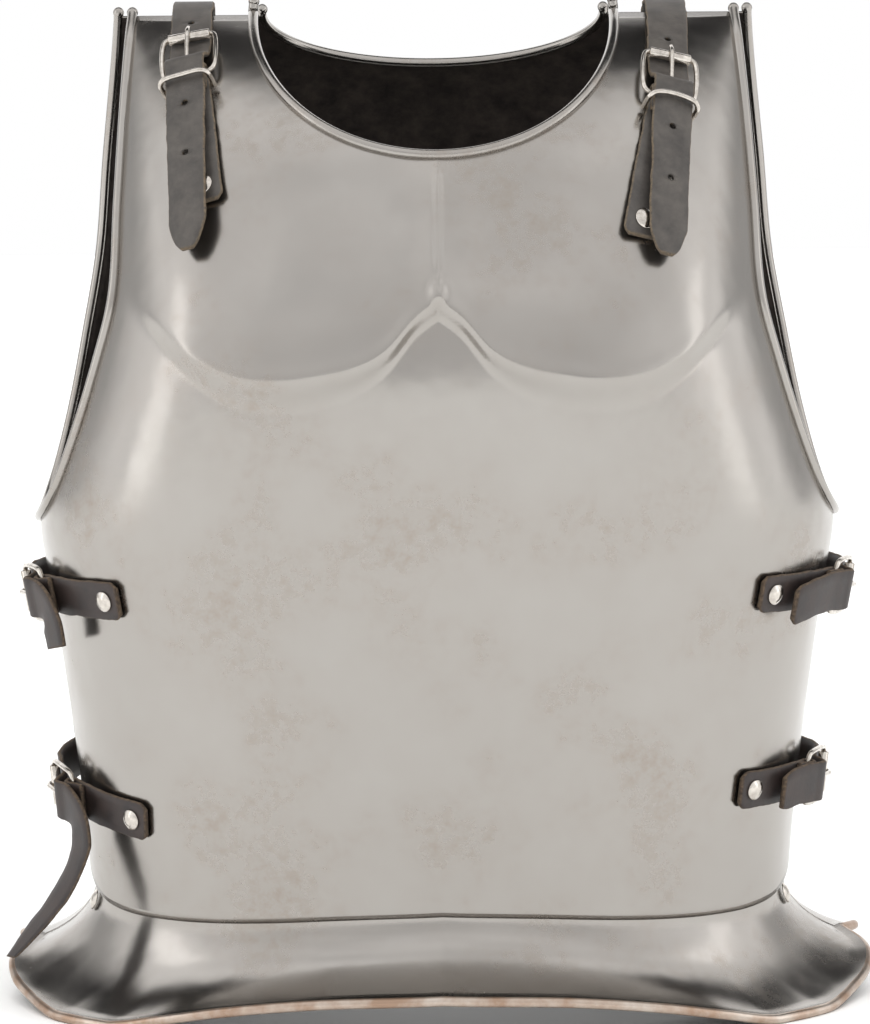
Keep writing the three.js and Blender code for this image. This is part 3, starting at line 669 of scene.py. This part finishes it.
def plate(side, columns, levels, relief):
    name = {"front": "breastplate", "back": "backplate"}[side]
    wall = sheet(f"{name}_wall", side, plate_grids(side, columns, levels), relief)
    lines = [neck_line(side), arm_line(side, -1), arm_line(side, 1)]
    rims = bars(f"{name}_rims", lines, BEAD, STEEL)
    tips = [lines[0][0], lines[1][-1], lines[2][-1], lines[0][-1]]
    ends = [knob("end", tip, BEAD * 1.12) for tip in tips]
    darken_hollow(wall, 1)
    piece = joined(f"{name}_sheet", [wall, rims, *ends])
    for finish in (STEEL, DARK_STEEL):
        piece.data.materials.append(finish)
    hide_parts(name)
    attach(piece, "root")
    print(piece.name, len(piece.data.polygons), "faces")
    return piece


breastplate = plate("front", 200, 190, chest)
backplate = plate("back", 120, 120, plain)

# %% [markdown]
# The flanges. Each is one lame with a tall part tucked behind the plate, a crease at the plate's
# edge, a flare, and a rolled rim. One section is swept round the waist while its flare and drop
# change with the angle, so the rim dips at the hips and rises in front.

# %% Flanges
FLARE_TURN = math.radians(65)
TUCK = 22                        # how far the lame reaches up behind the plate
RIM = 2.6                        # radius of the rolled rim
CLEARANCE = 2.2                  # between the plate and the lame behind it
BEAD_POINTS = 14
BEAD_TURN = (100, -190)          # degrees, from the flare's outer face round to its inner face
STEEPNESS = 1.6                  # how fast the wall turns from upright to level
LOWEST = 0.02                    # keeps the rim on the floor


def flange_curve(side, angle, f, inward=0.0):
    """The flange's outer face from the crease (f = 0) to the rim (f = 1), at one angle."""
    size = {c: float(sample(WAIST, "angle", c, abs(angle))) for c in ("crease", "flare", "foot")}
    rim_z = max(size["foot"], 0) + RIM * math.sin(math.pi / 3)
    turn = FLARE_TURN * np.asarray(f, float)
    out = size["flare"] * (1 - np.cos(turn)) / (1 - math.cos(FLARE_TURN))
    z = size["crease"] - (size["crease"] - rim_z) * np.sin(turn) / math.sin(FLARE_TURN)
    slope = np.sin(turn) / STEEPNESS
    reach = out - WALL - CLEARANCE - inward * (1 - slope)
    base = surface(side, angle, size["crease"])
    way = np.array([math.sin(math.radians(angle)), FACING[side] * math.cos(math.radians(angle)), 0])
    points = base + np.multiply.outer(reach, way)
    points[..., 2] = z - inward * slope
    return points, way


def flange(side, sections=240, bends=16):
    name = f"{side}_flange"
    t = np.linspace(-1, 1, sections + 1)
    rings = []
    for angle in 90 * (0.8 * t + 0.2 * np.sign(t) * (1 - (1 - np.abs(t)) ** 2)):
        f = np.linspace(0, 1, bends)[:-1]
        outer, way = flange_curve(side, angle, f)
        inner, _ = flange_curve(side, angle, f, WALL)
        rim, _ = flange_curve(side, angle, 1.0, WALL / 2)
        rim[2] = flange_curve(side, angle, 1.0)[0][2]
        turn = np.radians(np.linspace(*BEAD_TURN, BEAD_POINTS))[:, None]
        bead = rim + RIM * 0.98 * (np.cos(turn) * way + np.sin(turn) * np.array([0, 0, 1]))
        bead[:, 2] = np.maximum(bead[:, 2], LOWEST)
        top_z = outer[0][2] + TUCK
        top = [surface(side, angle, top_z) + facing_out(side, angle, top_z) * d
               for d in (-WALL - CLEARANCE, -2 * WALL - CLEARANCE)]
        rings.append(metres(np.concatenate([[top[0]], outer, bead, inner[::-1], [top[1]]])))
    piece = loft(f"{name}_lame", rings)
    for finish in (STEEL, DARK_STEEL, RIM_FLOOR_REFLECTION_STEEL):
        piece.data.materials.append(finish)
    first, last = bends, bends + BEAD_POINTS - 1
    # the rim's faces take the steel with the painted floor reflection
    finishes = [0] * first + [2] * (last - first) + [1] * (len(rings[0]) - last)
    laid = [finishes[i] for _ in range(sections) for i in range(len(rings[0]))] + [0, 0]
    piece.data.polygons.foreach_set("material_index", laid)
    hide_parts(name)
    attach(piece, "root")
    print(piece.name, len(piece.data.polygons), "faces")
    return piece


front_flange = flange("front")
back_flange = flange("back")

# %% [markdown]
# Straps follow routes: a curve over the plates with the plate's own normal at every stop. A place
# on a route is s along it, n above the plate and w across, so a buckle is drawn once in those
# three numbers and then laid on any of the six routes.

# %% Routes over the plates
LEATHER = 2.4
STRAP = 20
GAP = 0.3                       # air between parts that touch
BOW, BOW_SPREAD = 7, 14         # a side strap stands off where the plates meet


def run_of(line):
    """The distance run at each point of a line."""
    steps = np.linalg.norm(np.diff(line, axis=0), axis=1)
    return np.concatenate([[0], np.cumsum(steps)])


def spline(points, per_span=24):
    """Centripetal curve through points: the dense points, and the stop number of each."""
    p = np.asarray(points, float)
    p = np.concatenate([[2 * p[0] - p[1]], p, [2 * p[-1] - p[-2]]])
    chord = np.maximum(np.linalg.norm(np.diff(p, axis=0), axis=1) ** 0.5, 1e-4)
    out, where = [], []
    for i in range(1, len(p) - 2):
        a, b, c = chord[i - 1], chord[i], chord[i + 1]
        start = ((p[i] - p[i - 1]) / a - (p[i + 1] - p[i - 1]) / (a + b) + (p[i + 1] - p[i]) / b) * b
        end = ((p[i + 1] - p[i]) / b - (p[i + 2] - p[i]) / (b + c) + (p[i + 2] - p[i + 1]) / c) * b
        last = i == len(p) - 3
        for f in np.linspace(0, 1, per_span, endpoint=last):
            cubic = 2 * p[i] - 2 * p[i + 1] + start + end
            square = -3 * p[i] + 3 * p[i + 1] - 2 * start - end
            out.append(((cubic * f + square) * f + start) * f + p[i])
            where.append(i - 1 + f)
    return np.array(out), np.array(where)


class Route:
    def __init__(self, stops, hand):
        self.points, _ = spline([point for point, _ in stops])
        self.normals, _ = spline([normal for _, normal in stops])
        self.along = unit(np.gradient(self.points, axis=0))
        self.steps = run_of(self.points)
        self.hand = hand

    def mix(self, table, s):
        return np.stack([np.interp(s, self.steps, table[:, k]) for k in range(3)], -1)

    def frame(self, s):
        along = unit(self.mix(self.along, s))
        up = self.mix(self.normals, s)
        up = unit(up - np.sum(up * along, -1, keepdims=True) * along)
        over = (s - np.clip(s, 0, self.steps[-1]))[..., None]
        return self.mix(self.points, s) + over * along, along, np.cross(up, along) * self.hand, up

    def at(self, s, n, w=0.0):
        """Places on the route, in millimetres."""
        s, n, w = np.broadcast_arrays(*(np.asarray(v, float) for v in (s, n, w)))
        point, _, side, up = self.frame(s)
        return point + up * n[..., None] + side * w[..., None]

    def where(self, measure, value):
        """The last place where a measure of the point passes a value."""
        s = np.arange(self.steps[-1], 0, -0.5)
        signs = np.sign(measure(self.at(s, 0)) - value)
        return float(s[np.argmax(signs != signs[0])])


def stop(side, angle, z):
    relief = float(chest(surface(side, angle, z)[0], z)) if side == "front" else 0.0
    normal = facing_out(side, angle, z)
    return surface(side, angle, z) + normal * relief, normal


BACK_STOPS = (440, 455, 468, 480, 488)
FRONT_STOPS = (488, 480, 468, 452, 434, 414, 392)
SIDE_STOPS = (("back", (50, 60, 70, 79, 85, 89)), ("front", (89, 85, 79, 72, 64, 56, 48, 40)))


def shoulder_route(top_x, tip_x, tip):
    def over(side, z, x):
        return stop(side, float(angle_of(side, x, z)), z)
    stops = [over("back", z, top_x) for z in BACK_STOPS]
    stops.append((np.array([top_x, 0, SHOULDER_TOP + 3.5]), np.array([0, 0, 1.0])))
    for z in (*FRONT_STOPS, tip - 8):
        x = tip_x + (top_x - tip_x) * (z - tip) / (SHOULDER_TOP - tip)
        stops.append(over("front", z, x))
    return Route(stops, 1)


def side_route(hand, rivet_x, rivet_z, slope):
    rivet_angle = abs(float(angle_of("front", rivet_x, rivet_z)))
    stops = []
    for side, angles in SIDE_STOPS:
        for a in angles:
            turn = 180 - a if side == "back" else a
            point, normal = stop(side, hand * a, rivet_z + slope * (turn - rivet_angle) * 3)
            bow = BOW * math.exp(-(((turn - 90) / BOW_SPREAD) ** 2))
            stops.append((point + normal * bow, normal))
    return Route(stops, -hand)


SHOULDERS = {
    "shoulder_strap_left": {"top_x": -119, "tip_x": -113, "roller": 474.5, "chape": 400, "tip": 378,
                            "lean": 6, "arch": -1},
    "shoulder_strap_right": {"top_x": 115, "tip_x": 104, "roller": 464, "chape": 382, "tip": 374,
                             "lean": -10, "arch": -3},
}
SIDES = {
    "side_strap_upper_left": {"hand": -1, "rivet_x": 159.5, "rivet_z": 210.5, "slope": -0.04, "roller": 80,
                              "tail": "short"},
    "side_strap_lower_left": {"hand": -1, "rivet_x": 149, "rivet_z": 100, "slope": 0.1, "roller": 74,
                              "tail": "long"},
    "side_strap_upper_right": {"hand": 1, "rivet_x": 160, "rivet_z": 211, "slope": -0.05, "roller": 82,
                               "tail": "lapped"},
    "side_strap_lower_right": {"hand": 1, "rivet_x": 151.5, "rivet_z": 112, "slope": -0.03, "roller": 72,
                               "tail": "forward"},
}
# Tails as (distance past the heel, height over the loop, drop, half width, lean in degrees).
TAILS = {
    "short": ((10, 0.6, 1, 10, 0), (16, 1.2, 5, 10, 30), (18, 1.4, 13, 10, 65), (17, 1, 24, 8.8, 80)),
    "long": ((10, 0.6, 1, 10, 0), (17, 1.6, 7, 10, 35), (19, 3, 20, 10, 65), (19, 16, 40, 9, 75),
             (18, 31, 54, 7, 78), (17, 45, 66, 3, 80)),
    "forward": ((14, -1, 0, 10, 0), (24, -1.5, 1, 10, 0), (31, -1.5, 2, 8, 0)),
    "lapped": ((14, -1, 0, 10, 0), (34, -1, 2, 10, 0), (45, -0.8, 4, 10, 0), (48, -0.8, 4, 7.5, 0)),
}
print("routes:", len(SHOULDERS) + len(SIDES))

# %% [markdown]
# A strip of leather has square-cut but slightly rounded edges and is never quite straight along its
# cut. The section is a rounded rectangle carried along the route. Its rings are close enough to bend
# smoothly over the buckle.

# %% Leather strips
SECTION = [(-1, 0.45), (-0.93, 1), (-0.5, 1), (0, 1), (0.5, 1), (0.93, 1), (1, 0.45),
           (1, -0.45), (0.93, -1), (0.5, -1), (0, -1), (-0.5, -1), (-0.93, -1), (-1, -0.45)]
RAGGED = 0.35                    # how uneven a cut edge is


def strip(name, route, rows, seed, finish, spacing=1.3):
    """A strip through rows of (s, n, w, half width, lean in degrees)."""
    rows = np.array([tuple(r) + (0,) * (5 - len(r)) for r in rows], float)
    line, where = spline(rows[:, :3], 30)
    half = np.interp(where, np.arange(len(rows)), rows[:, 3])
    lean = np.interp(where, np.arange(len(rows)), rows[:, 4])
    run = run_of(line)
    even = np.linspace(0, run[-1], max(int(run[-1] / spacing), 8))
    line = np.stack([np.interp(even, run, line[:, k]) for k in range(3)], -1)
    half, lean = np.interp(even, run, half), np.radians(np.interp(even, run, lean))
    way = np.gradient(line, axis=0)
    flat = np.abs(lean) > 1e-3
    across = unit(np.stack([-way[:, 1], way[:, 0]], -1))
    across[flat] = (0, 1)
    rng = np.random.default_rng(seed)
    right, left = [
        np.convolve(rng.normal(0, RAGGED, len(even) + 6), np.ones(5) / 5, "same")[3:-3]
        for _ in range(2)]
    a, b = np.array(SECTION).T
    rings = []
    for i, (s, n, w) in enumerate(line):
        width = half[i] + np.where(a > 0, right[i], left[i]) * (np.abs(a) > 0.9)
        rings.append(route.at(
            s + b * LEATHER / 2 * across[i, 0] + a * width * math.sin(lean[i]),
            n + b * LEATHER / 2 * across[i, 1],
            w + a * width * math.cos(lean[i])))
    piece = loft(name, [metres(r) for r in rings])
    count = len(SECTION)
    raw = [1.0 if abs(SECTION[i % count][0]) == 1 or not 0 < i // count < len(rings) - 1 else 0.0
           for i in range(len(piece.data.vertices))]
    layer = piece.data.attributes.new("raw", "FLOAT", "POINT")
    layer.data.foreach_set("value", raw)
    piece.data.materials.append(finish)
    return piece


def punch(piece, cutters):
    """Cuts holes with bars and keeps the result as plain mesh."""
    for cutter in cutters:
        modifier = piece.modifiers.new("hole", "BOOLEAN")
        modifier.object = cutter
        modifier.solver = "EXACT"
    bpy.context.view_layer.update()
    evaluated = piece.evaluated_get(bpy.context.evaluated_depsgraph_get())
    mesh = bpy.data.meshes.new_from_object(evaluated)
    piece.modifiers.clear()
    piece.data = mesh
    for cutter in cutters:
        bpy.data.objects.remove(cutter)
    return piece


# %% [markdown]
# The layers at a buckle, from the plate up: the chape's lower layer, the heel bar, and its upper
# layer with the strap lying on it. Their middles are heights n on the route, so nothing cuts
# into its neighbour.

# %% The buckle's heights over the plate
SEAT = 3.5 * GAP + LEATHER / 2   # middle of a strip that lies on the plate
WIRE = 1.3                       # radius of the buckle's wire
ROLLER = 2.6                     # radius of its roller
BAR_N = SEAT + LEATHER / 2 + GAP + WIRE
ROLLER_N = SEAT + LEATHER / 2 + GAP + ROLLER
OVER_BAR = BAR_N + WIRE + GAP + LEATHER / 2
OVER_LOOP = OVER_BAR + LEATHER + GAP
BUCKLE = 26                      # from the roller to the heel bar
FRAME_HALF = STRAP / 2 + GAP * 3 + WIRE + 0.4
CHAPE_HALF = 9.4
PRONG = 1.1
TAIL_N = [SEAT + lift * LEATHER for lift in (3, 2.9, 2.5, 2.4)]
print("heel bar stands", round(BAR_N, 2), "mm over the plate")


def curve_points(route, table, closed=False):
    rows = [tuple(r) for r in table]
    if closed:
        line, _ = spline(rows[-2:] + rows + rows[:2], 12)
        line = line[24:24 + 12 * len(rows)]
    else:
        line, _ = spline(rows, 14)
    return metres(route.at(line[:, 0], line[:, 1], line[:, 2]))


def pin_bar(route, s, n, w, radius, reach=5.0):
    ends = [metres(route.at(s, n + d, w)) for d in (-reach, 0, reach)]
    return bars("cutter", [ends], radius, NICKEL, sides=20)


wires, tubes, rivets, straps = [], [], [], []


def buckled_strap(name, route, roller, chape_end, tail, lean, punched, hide, seed, back_steps):
    heel = roller + BUCKLE
    chape_rivet = chape_end - 9

    def drift(s):
        return lean * max(0, s - heel) / (chape_rivet - heel)

    prong = [(heel + 1, OVER_BAR - 0.1, 0), (heel - 6, OVER_BAR + 0.4, 0),
             (roller + 5, ROLLER_N + 3.4, 0), (roller, ROLLER_N + ROLLER + GAP + PRONG, 0),
             (roller - 4, ROLLER_N + 2.6, 0)]
    prong_line = curve_points(route, prong)
    slot_cut = bars("cutter", [prong_line], PRONG + 0.7, NICKEL)
    hole_cut = bars("cutter", [prong_line], PRONG + 0.7, NICKEL)

    rows = [(chape_end, SEAT, drift(chape_end), CHAPE_HALF * 0.72)]
    level = [chape_end - 3, *np.linspace(chape_end - 11, heel + 3, 4)]
    rows += [(s, SEAT, drift(s), CHAPE_HALF) for s in level]
    fold = [(heel - 1.4, BAR_N - 2.5), (heel - 2.8, BAR_N), (heel - 1.4, BAR_N + 2.5),
            (heel + 1.5, OVER_BAR), (heel + 7, SEAT + LEATHER + 0.6), (heel + 11, SEAT + LEATHER + GAP)]
    rows += [(s, n, 0, CHAPE_HALF) for s, n in fold]
    chape = strip(f"{name}_chape_leather", route, rows, seed, hide)
    straps.append((punch(chape, [slot_cut]), f"{name}_chape"))

    level = [(s, SEAT) for s in (3, *np.linspace(14, roller - 6, back_steps + 1), roller + 3)]
    climb = [(heel - 12, SEAT + 2.6), (heel - 3.5, OVER_LOOP + 1.6), (heel + 4, OVER_LOOP + 0.4)]
    rows = [(0, SEAT, 0, 8), *((s, n, 0, STRAP / 2) for s, n in level + climb), *tail(heel)]
    strap = strip(f"{name}_leather", route, rows, seed + 50, hide)
    cutters = [hole_cut] + [pin_bar(route, s, n, 0, 1.8) for s, n in punched]
    straps.append((punch(strap, cutters), name))

    corner = 2.0
    frame_rows = [(roller, -FRAME_HALF + corner, 0), (roller + corner, -FRAME_HALF, 0.1),
                  (heel - corner, -FRAME_HALF, 0.9), (heel, -FRAME_HALF + corner, 1),
                  (heel, FRAME_HALF - corner, 1), (heel - corner, FRAME_HALF, 0.9),
                  (roller + corner, FRAME_HALF, 0.1), (roller, FRAME_HALF - corner, 0)]
    frame_rows = [(s, ROLLER_N + f * (BAR_N - ROLLER_N), w) for s, w, f in frame_rows]
    wires.append((f"{name}_buckle", curve_points(route, frame_rows, closed=True), True, WIRE))
    wires.append((f"{name}_prong", prong_line, False, PRONG))
    reach = STRAP / 2 + 0.2
    axle = [metres(route.at(roller, ROLLER_N, w)) for w in np.linspace(-reach, reach, 9)]
    tubes.append((f"{name}_roller", axle))
    for label, s, w in (("chape_rivet", chape_rivet, drift(chape_rivet)), ("rivet", 8, 0)):
        up = route.frame(np.array(float(s)))[-1]
        rivets.append((f"{name}_{label}", route.at(s, SEAT + LEATHER / 2 + GAP / 2, w), up))


# %% [markdown]
# The shoulder straps lie over the shoulder and through their buckles, and a wire keeper holds the
# tail down. Heights in the table become distances along the route.

# %% Shoulder straps
for number, (name, size) in enumerate(SHOULDERS.items()):
    route = shoulder_route(size["top_x"], size["tip_x"], size["tip"])
    down = {key: route.where(lambda p: p[:, 2], size[key]) for key in ("roller", "chape", "tip")}

    def hanging_tail(heel, end=down["tip"]):
        high, _, middle, low = TAIL_N
        half = STRAP / 2
        return [(heel + 14, high, 0, half), ((heel + end) / 2 + 4, middle, 0, half),
                (end - 14, low, 0, half), (end - 3, low, 0, STRAP * 0.3), (end, low, 0, STRAP * 0.16)]

    heel = down["roller"] + BUCKLE
    punched = [(down["roller"] - 17, SEAT), (heel + 22, TAIL_N[1]), (heel + 50, TAIL_N[3])]
    buckled_strap(name, route, down["roller"], down["chape"], hanging_tail, size["lean"], punched,
                  SHOULDER_HIDE, 10 + number, 7)
    high = OVER_LOOP + LEATHER / 2 + 0.4 + GAP + WIRE
    side = STRAP / 2 + GAP + WIRE + 0.6
    arch = size["arch"]
    foot = heel + 9
    ring = [(foot, SEAT, -side), (foot, high - 2.5, -side), (foot + arch * 0.4, high, -side + 2),
            (foot + arch, high + 0.3, 0), (foot + arch * 0.4, high, side - 2),
            (foot, high - 2.5, side), (foot, SEAT, side)]
    wires.append((f"{name}_keeper", curve_points(route, ring), False, WIRE))
print("strips so far:", len(straps))

# %% [markdown]
# The side straps bow out where the plates meet. Each tail has its own fall, as worn leather has.

# %% Side straps
for number, (name, size) in enumerate(SIDES.items()):
    route = side_route(size["hand"], size["rivet_x"], size["rivet_z"], size["slope"])
    at = route.where(lambda p: np.abs(p[:, 0]), size["rivet_x"])

    def side_tail(heel, rows=TAILS[size["tail"]]):
        return [(heel + s, OVER_LOOP + n, -drop, half, lean) for s, n, drop, half, lean in rows]

    buckled_strap(name, route, at - size["roller"], at + 9, side_tail, 0, [],
                  SIDE_HIDE, 30 + number, 10)

for piece, node in straps:
    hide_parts(node)
    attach(piece, "root")
print("strips:", len(straps))

# %% [markdown]
# Buckles, prongs and keepers are bent wire: the same round bars, on the lines found above. A roller
# is a tube whose bore leaves room for the wire.

# %% Buckle wires and rollers
ROUND = 28                       # segments round a roller
for name, line, closed, radius in wires:
    piece = bars(f"{name}_wire", [line], radius, NICKEL, closed=closed, sides=14)
    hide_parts(name)
    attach(piece, "root")


def roller_tube(name, line):
    """A short rolled sheet tube with a hollow bore."""
    start, end = Vector(line[0]), Vector(line[-1])
    axis = (end - start).normalized()
    side = axis.orthogonal().normalized()
    other = axis.cross(side)
    bore = (WIRE + GAP) * MM
    profile = [(0, bore), (0, ROLLER * MM - 0.0003), (0.0003, ROLLER * MM)]
    profile += [((end - start).length - a, r) for a, r in profile[::-1]]
    rings = []
    for i in range(ROUND):
        turn = 2 * math.pi * i / ROUND
        ray = side * math.cos(turn) + other * math.sin(turn)
        rings.append([tuple(start + axis * a + ray * r) for a, r in profile])
    piece = loft(f"{name}_tube", rings, closed=True)
    piece.data.materials.append(NICKEL)
    return piece


for name, line in tubes:
    piece = roller_tube(name, line)
    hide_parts(name)
    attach(piece, "root")
print("wires:", len(wires), "rollers:", len(tubes))

# %% [markdown]
# Rivets repeat, so one domed head is instanced on every rivet place and turned to the plate there.

# %% Rivets
DOME = ((0.01, 2.3), (1.6, 2.2), (3.2, 1.75), (4.4, 1.0), (4.9, 0.75), (5.2, 0.45), (5.2, 0.15),
        (4.9, 0.0))              # radius and height
TURNS = 24
FLANGE_RIVET = {"angle": 82.0, "down": 0.15, "step": 0.1}


def rivet_head():
    """A domed head with a rolled lip, its foot at the origin and its dome along +Z."""
    rings = []
    for i in range(TURNS):
        turn = 2 * math.pi * i / TURNS
        x, y = MM * math.cos(turn), MM * math.sin(turn)
        rings.append([(r * x, r * y, h * MM) for r, h in DOME])
    points = [p for ring in rings for p in ring]
    count, faces = len(DOME), []
    for j in range(TURNS):
        here, there = j * count, ((j + 1) % TURNS) * count
        faces += [(here + i, here + i + 1, there + i + 1, there + i) for i in range(count - 1)]
    faces.append(tuple(j * count for j in range(TURNS)))
    faces.append(tuple(j * count + count - 1 for j in range(TURNS)))
    return outward(mesh_from("rivet_head", points, faces))


def rivet_tree():
    tree, given = node_group("heads_on_points", ("Head", "Object"))
    info = add(tree, "GeometryNodeObjectInfo", {"Object": given["Head"]})
    up = add(tree, "GeometryNodeInputNamedAttribute", {"Name": "up"}, data_type="FLOAT_VECTOR")
    way = {"Vector": up.outputs["Attribute"]}
    turn = add(tree, "FunctionNodeAlignRotationToVector", way, axis="Z")
    heads = add(tree, "GeometryNodeInstanceOnPoints", {
        "Points": given["Geometry"], "Instance": info.outputs["Geometry"],
        "Rotation": turn.outputs[0]})
    paint(tree, heads.outputs[0], given["Finish"])
    return tree


for side in ("front", "back"):
    for hand, label in ((-1, "left"), (1, "right")):
        angle = hand * FLANGE_RIVET["angle"]
        f, step = FLANGE_RIVET["down"], FLANGE_RIVET["step"]
        point, _ = flange_curve(side, angle, f)
        across = flange_curve(side, angle + 1, f)[0] - flange_curve(side, angle - 1, f)[0]
        down_way = flange_curve(side, angle, f + step)[0] - flange_curve(side, angle, f - step)[0]
        up = unit(np.cross(across, down_way)) * FACING[side]
        rivets.append((f"{side}_flange_rivet_{label}", point + up * 1.2, up))

head = rivet_head()
carrier = mesh_from("rivet_places", metres([p for _, p, _ in rivets]), [])
layer = carrier.data.attributes.new("up", "FLOAT_VECTOR", "POINT")
layer.data.foreach_set("vector", np.concatenate([up for _, _, up in rivets]))
heads = run_nodes("rivet_heads", carrier, rivet_tree(), {"Head": head, "Finish": NICKEL})
bpy.data.objects.remove(head)
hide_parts(*[name for name, _, _ in rivets])
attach(heads, "root")
print("rivets:", len(rivets), "faces:", len(heads.data.polygons))

# %% [markdown]
# The studio. Polished metal shows its surroundings, so the light is mostly the world: bright in
# front and at the sides, and dark only from overhead back and down to some 45 degrees above the
# level behind, as under a black ceiling. That dark band is what the shoulders mirror.

# %% Studio
# Greys by angle in half turns: from the front over the top, and from the front round each side.
OVERHEAD = ((0.0, 0.62), (0.25, 0.82), (0.38, 0.8), (0.46, 0.95), (0.545, 0.9), (0.57, 0.02),
            (0.735, 0.02), (0.775, 1.0))
AROUND = ((0.3, 0.85), (0.48, 1.0), (0.57, 1.0), (0.66, 0.4), (0.85, 0.4), (1.0, 0.7))


def studio_world():
    """Grey by the angle up from the front and over, and by the compass angle at the sides."""
    world = bpy.data.worlds.new("studio")
    world.use_nodes = True
    tree = world.node_tree
    tree.nodes.clear()
    way = add(tree, "ShaderNodeTexCoord").outputs["Generated"]
    split = add(tree, "ShaderNodeSeparateXYZ", {"Vector": way})
    ahead = maths(tree, "MULTIPLY", split.outputs["Y"], -1.0)
    tilt = maths(tree, "ARCTAN2", split.outputs["Z"], ahead)
    turn = spread(tree, tilt, 0.0, 1.0, 0.0, math.pi)
    over = ramp(tree, turn, OVERHEAD)
    sideways = maths(tree, "ABSOLUTE", split.outputs["X"])
    round_to = maths(tree, "ARCTAN2", sideways, ahead)
    beside = ramp(tree, spread(tree, round_to, 0.0, 1.0, 0.0, math.pi), AROUND)
    light = mix(tree, ramp(tree, sideways, [(0.58, 0.0), (0.76, 1.0)]), over, beside)
    stretch = {"Vector": way, "Scale": (2.6, 2.6, 0.7), "Location": (3.1, 0.4, 0.0)}
    tall = add(tree, "ShaderNodeMapping", stretch).outputs["Vector"]
    cloud = add(tree, "ShaderNodeTexNoise", {"Vector": tall, "Scale": 1.6, "Detail": 2.0})
    patchy = ramp(tree, cloud.outputs["Fac"], [(0.34, 0.76), (0.62, 1.0)])
    uneven = mix(tree, 1.0, light, patchy, "MULTIPLY")
    sky = add(tree, "ShaderNodeBackground", {"Color": uneven, "Strength": 1.5})
    plain_white = add(tree, "ShaderNodeBackground", {"Color": (1, 1, 1, 1), "Strength": 1.0})
    ray = add(tree, "ShaderNodeLightPath").outputs["Is Camera Ray"]
    both = add(tree, "ShaderNodeMixShader", {0: ray, 1: sky.outputs[0], 2: plain_white.outputs[0]})
    add(tree, "ShaderNodeOutputWorld", {"Surface": both.outputs[0]})
    bpy.context.scene.world = world
    bpy.context.scene.view_settings.view_transform = "Standard"


def floor():
    material, tree, _ = new_material("pale_studio_paper")
    finish_with(tree, {"Base Color": colour("#FAFAF9"), "Roughness": 0.9})
    half = 6.0
    corners = [(-half, -half, 0), (half, -half, 0), (half, half, 0), (-half, half, 0)]
    piece = mesh_from("studio_floor", corners, [(0, 1, 2, 3)])
    piece.data.materials.append(material)


def softbox(name, place, size, power):
    lamp = bpy.data.lights.new(name, "AREA")
    lamp.shape = "RECTANGLE"
    lamp.size, lamp.size_y = size
    lamp.energy = power
    aim = Vector((0, 0, 0.25)) - Vector(place)
    piece = new_piece(name, lamp)
    piece.location = place
    piece.rotation_euler = aim.to_track_quat("-Z", "Y").to_euler()


def overhead(strength):
    """Even light from above for the floor and the leather, too wide to show in the metal."""
    lamp = bpy.data.lights.new("overhead", "SUN")
    lamp.angle = math.radians(80)
    lamp.energy = strength
    new_piece("overhead", lamp).visible_glossy = False


studio_world()
floor()
softbox("side_left", (-2.4, -0.7, 0.7), (0.6, 1.6), 2.5)
softbox("side_right", (2.4, -0.6, 0.7), (0.6, 1.6), 2)
overhead(1.6)
print("studio ready")

# %% [markdown]
# The camera stands level with the chest, a little left of the middle, with a long lens and a
# slight roll.

# %% Camera
AZIMUTH, ELEVATION, ROLL = math.radians(-0.5), math.radians(7.1), math.radians(0.45)
DISTANCE = 2.1
target = Vector((-0.001, 0.0, 0.2405))
camera = bpy.data.cameras.new("camera")
camera.lens = 146.4
camera.sensor_width = 36
camera.sensor_fit = "AUTO"
viewer = new_piece("camera", camera)
flat = math.cos(ELEVATION)
back_off = Vector((math.sin(AZIMUTH) * flat, -math.cos(AZIMUTH) * flat, math.sin(ELEVATION)))
viewer.location = target + back_off * DISTANCE
level = (-back_off).to_track_quat("-Z", "Y")
viewer.rotation_euler = (level @ Quaternion((0, 0, 1), -ROLL)).to_euler()
bpy.context.scene.camera = viewer
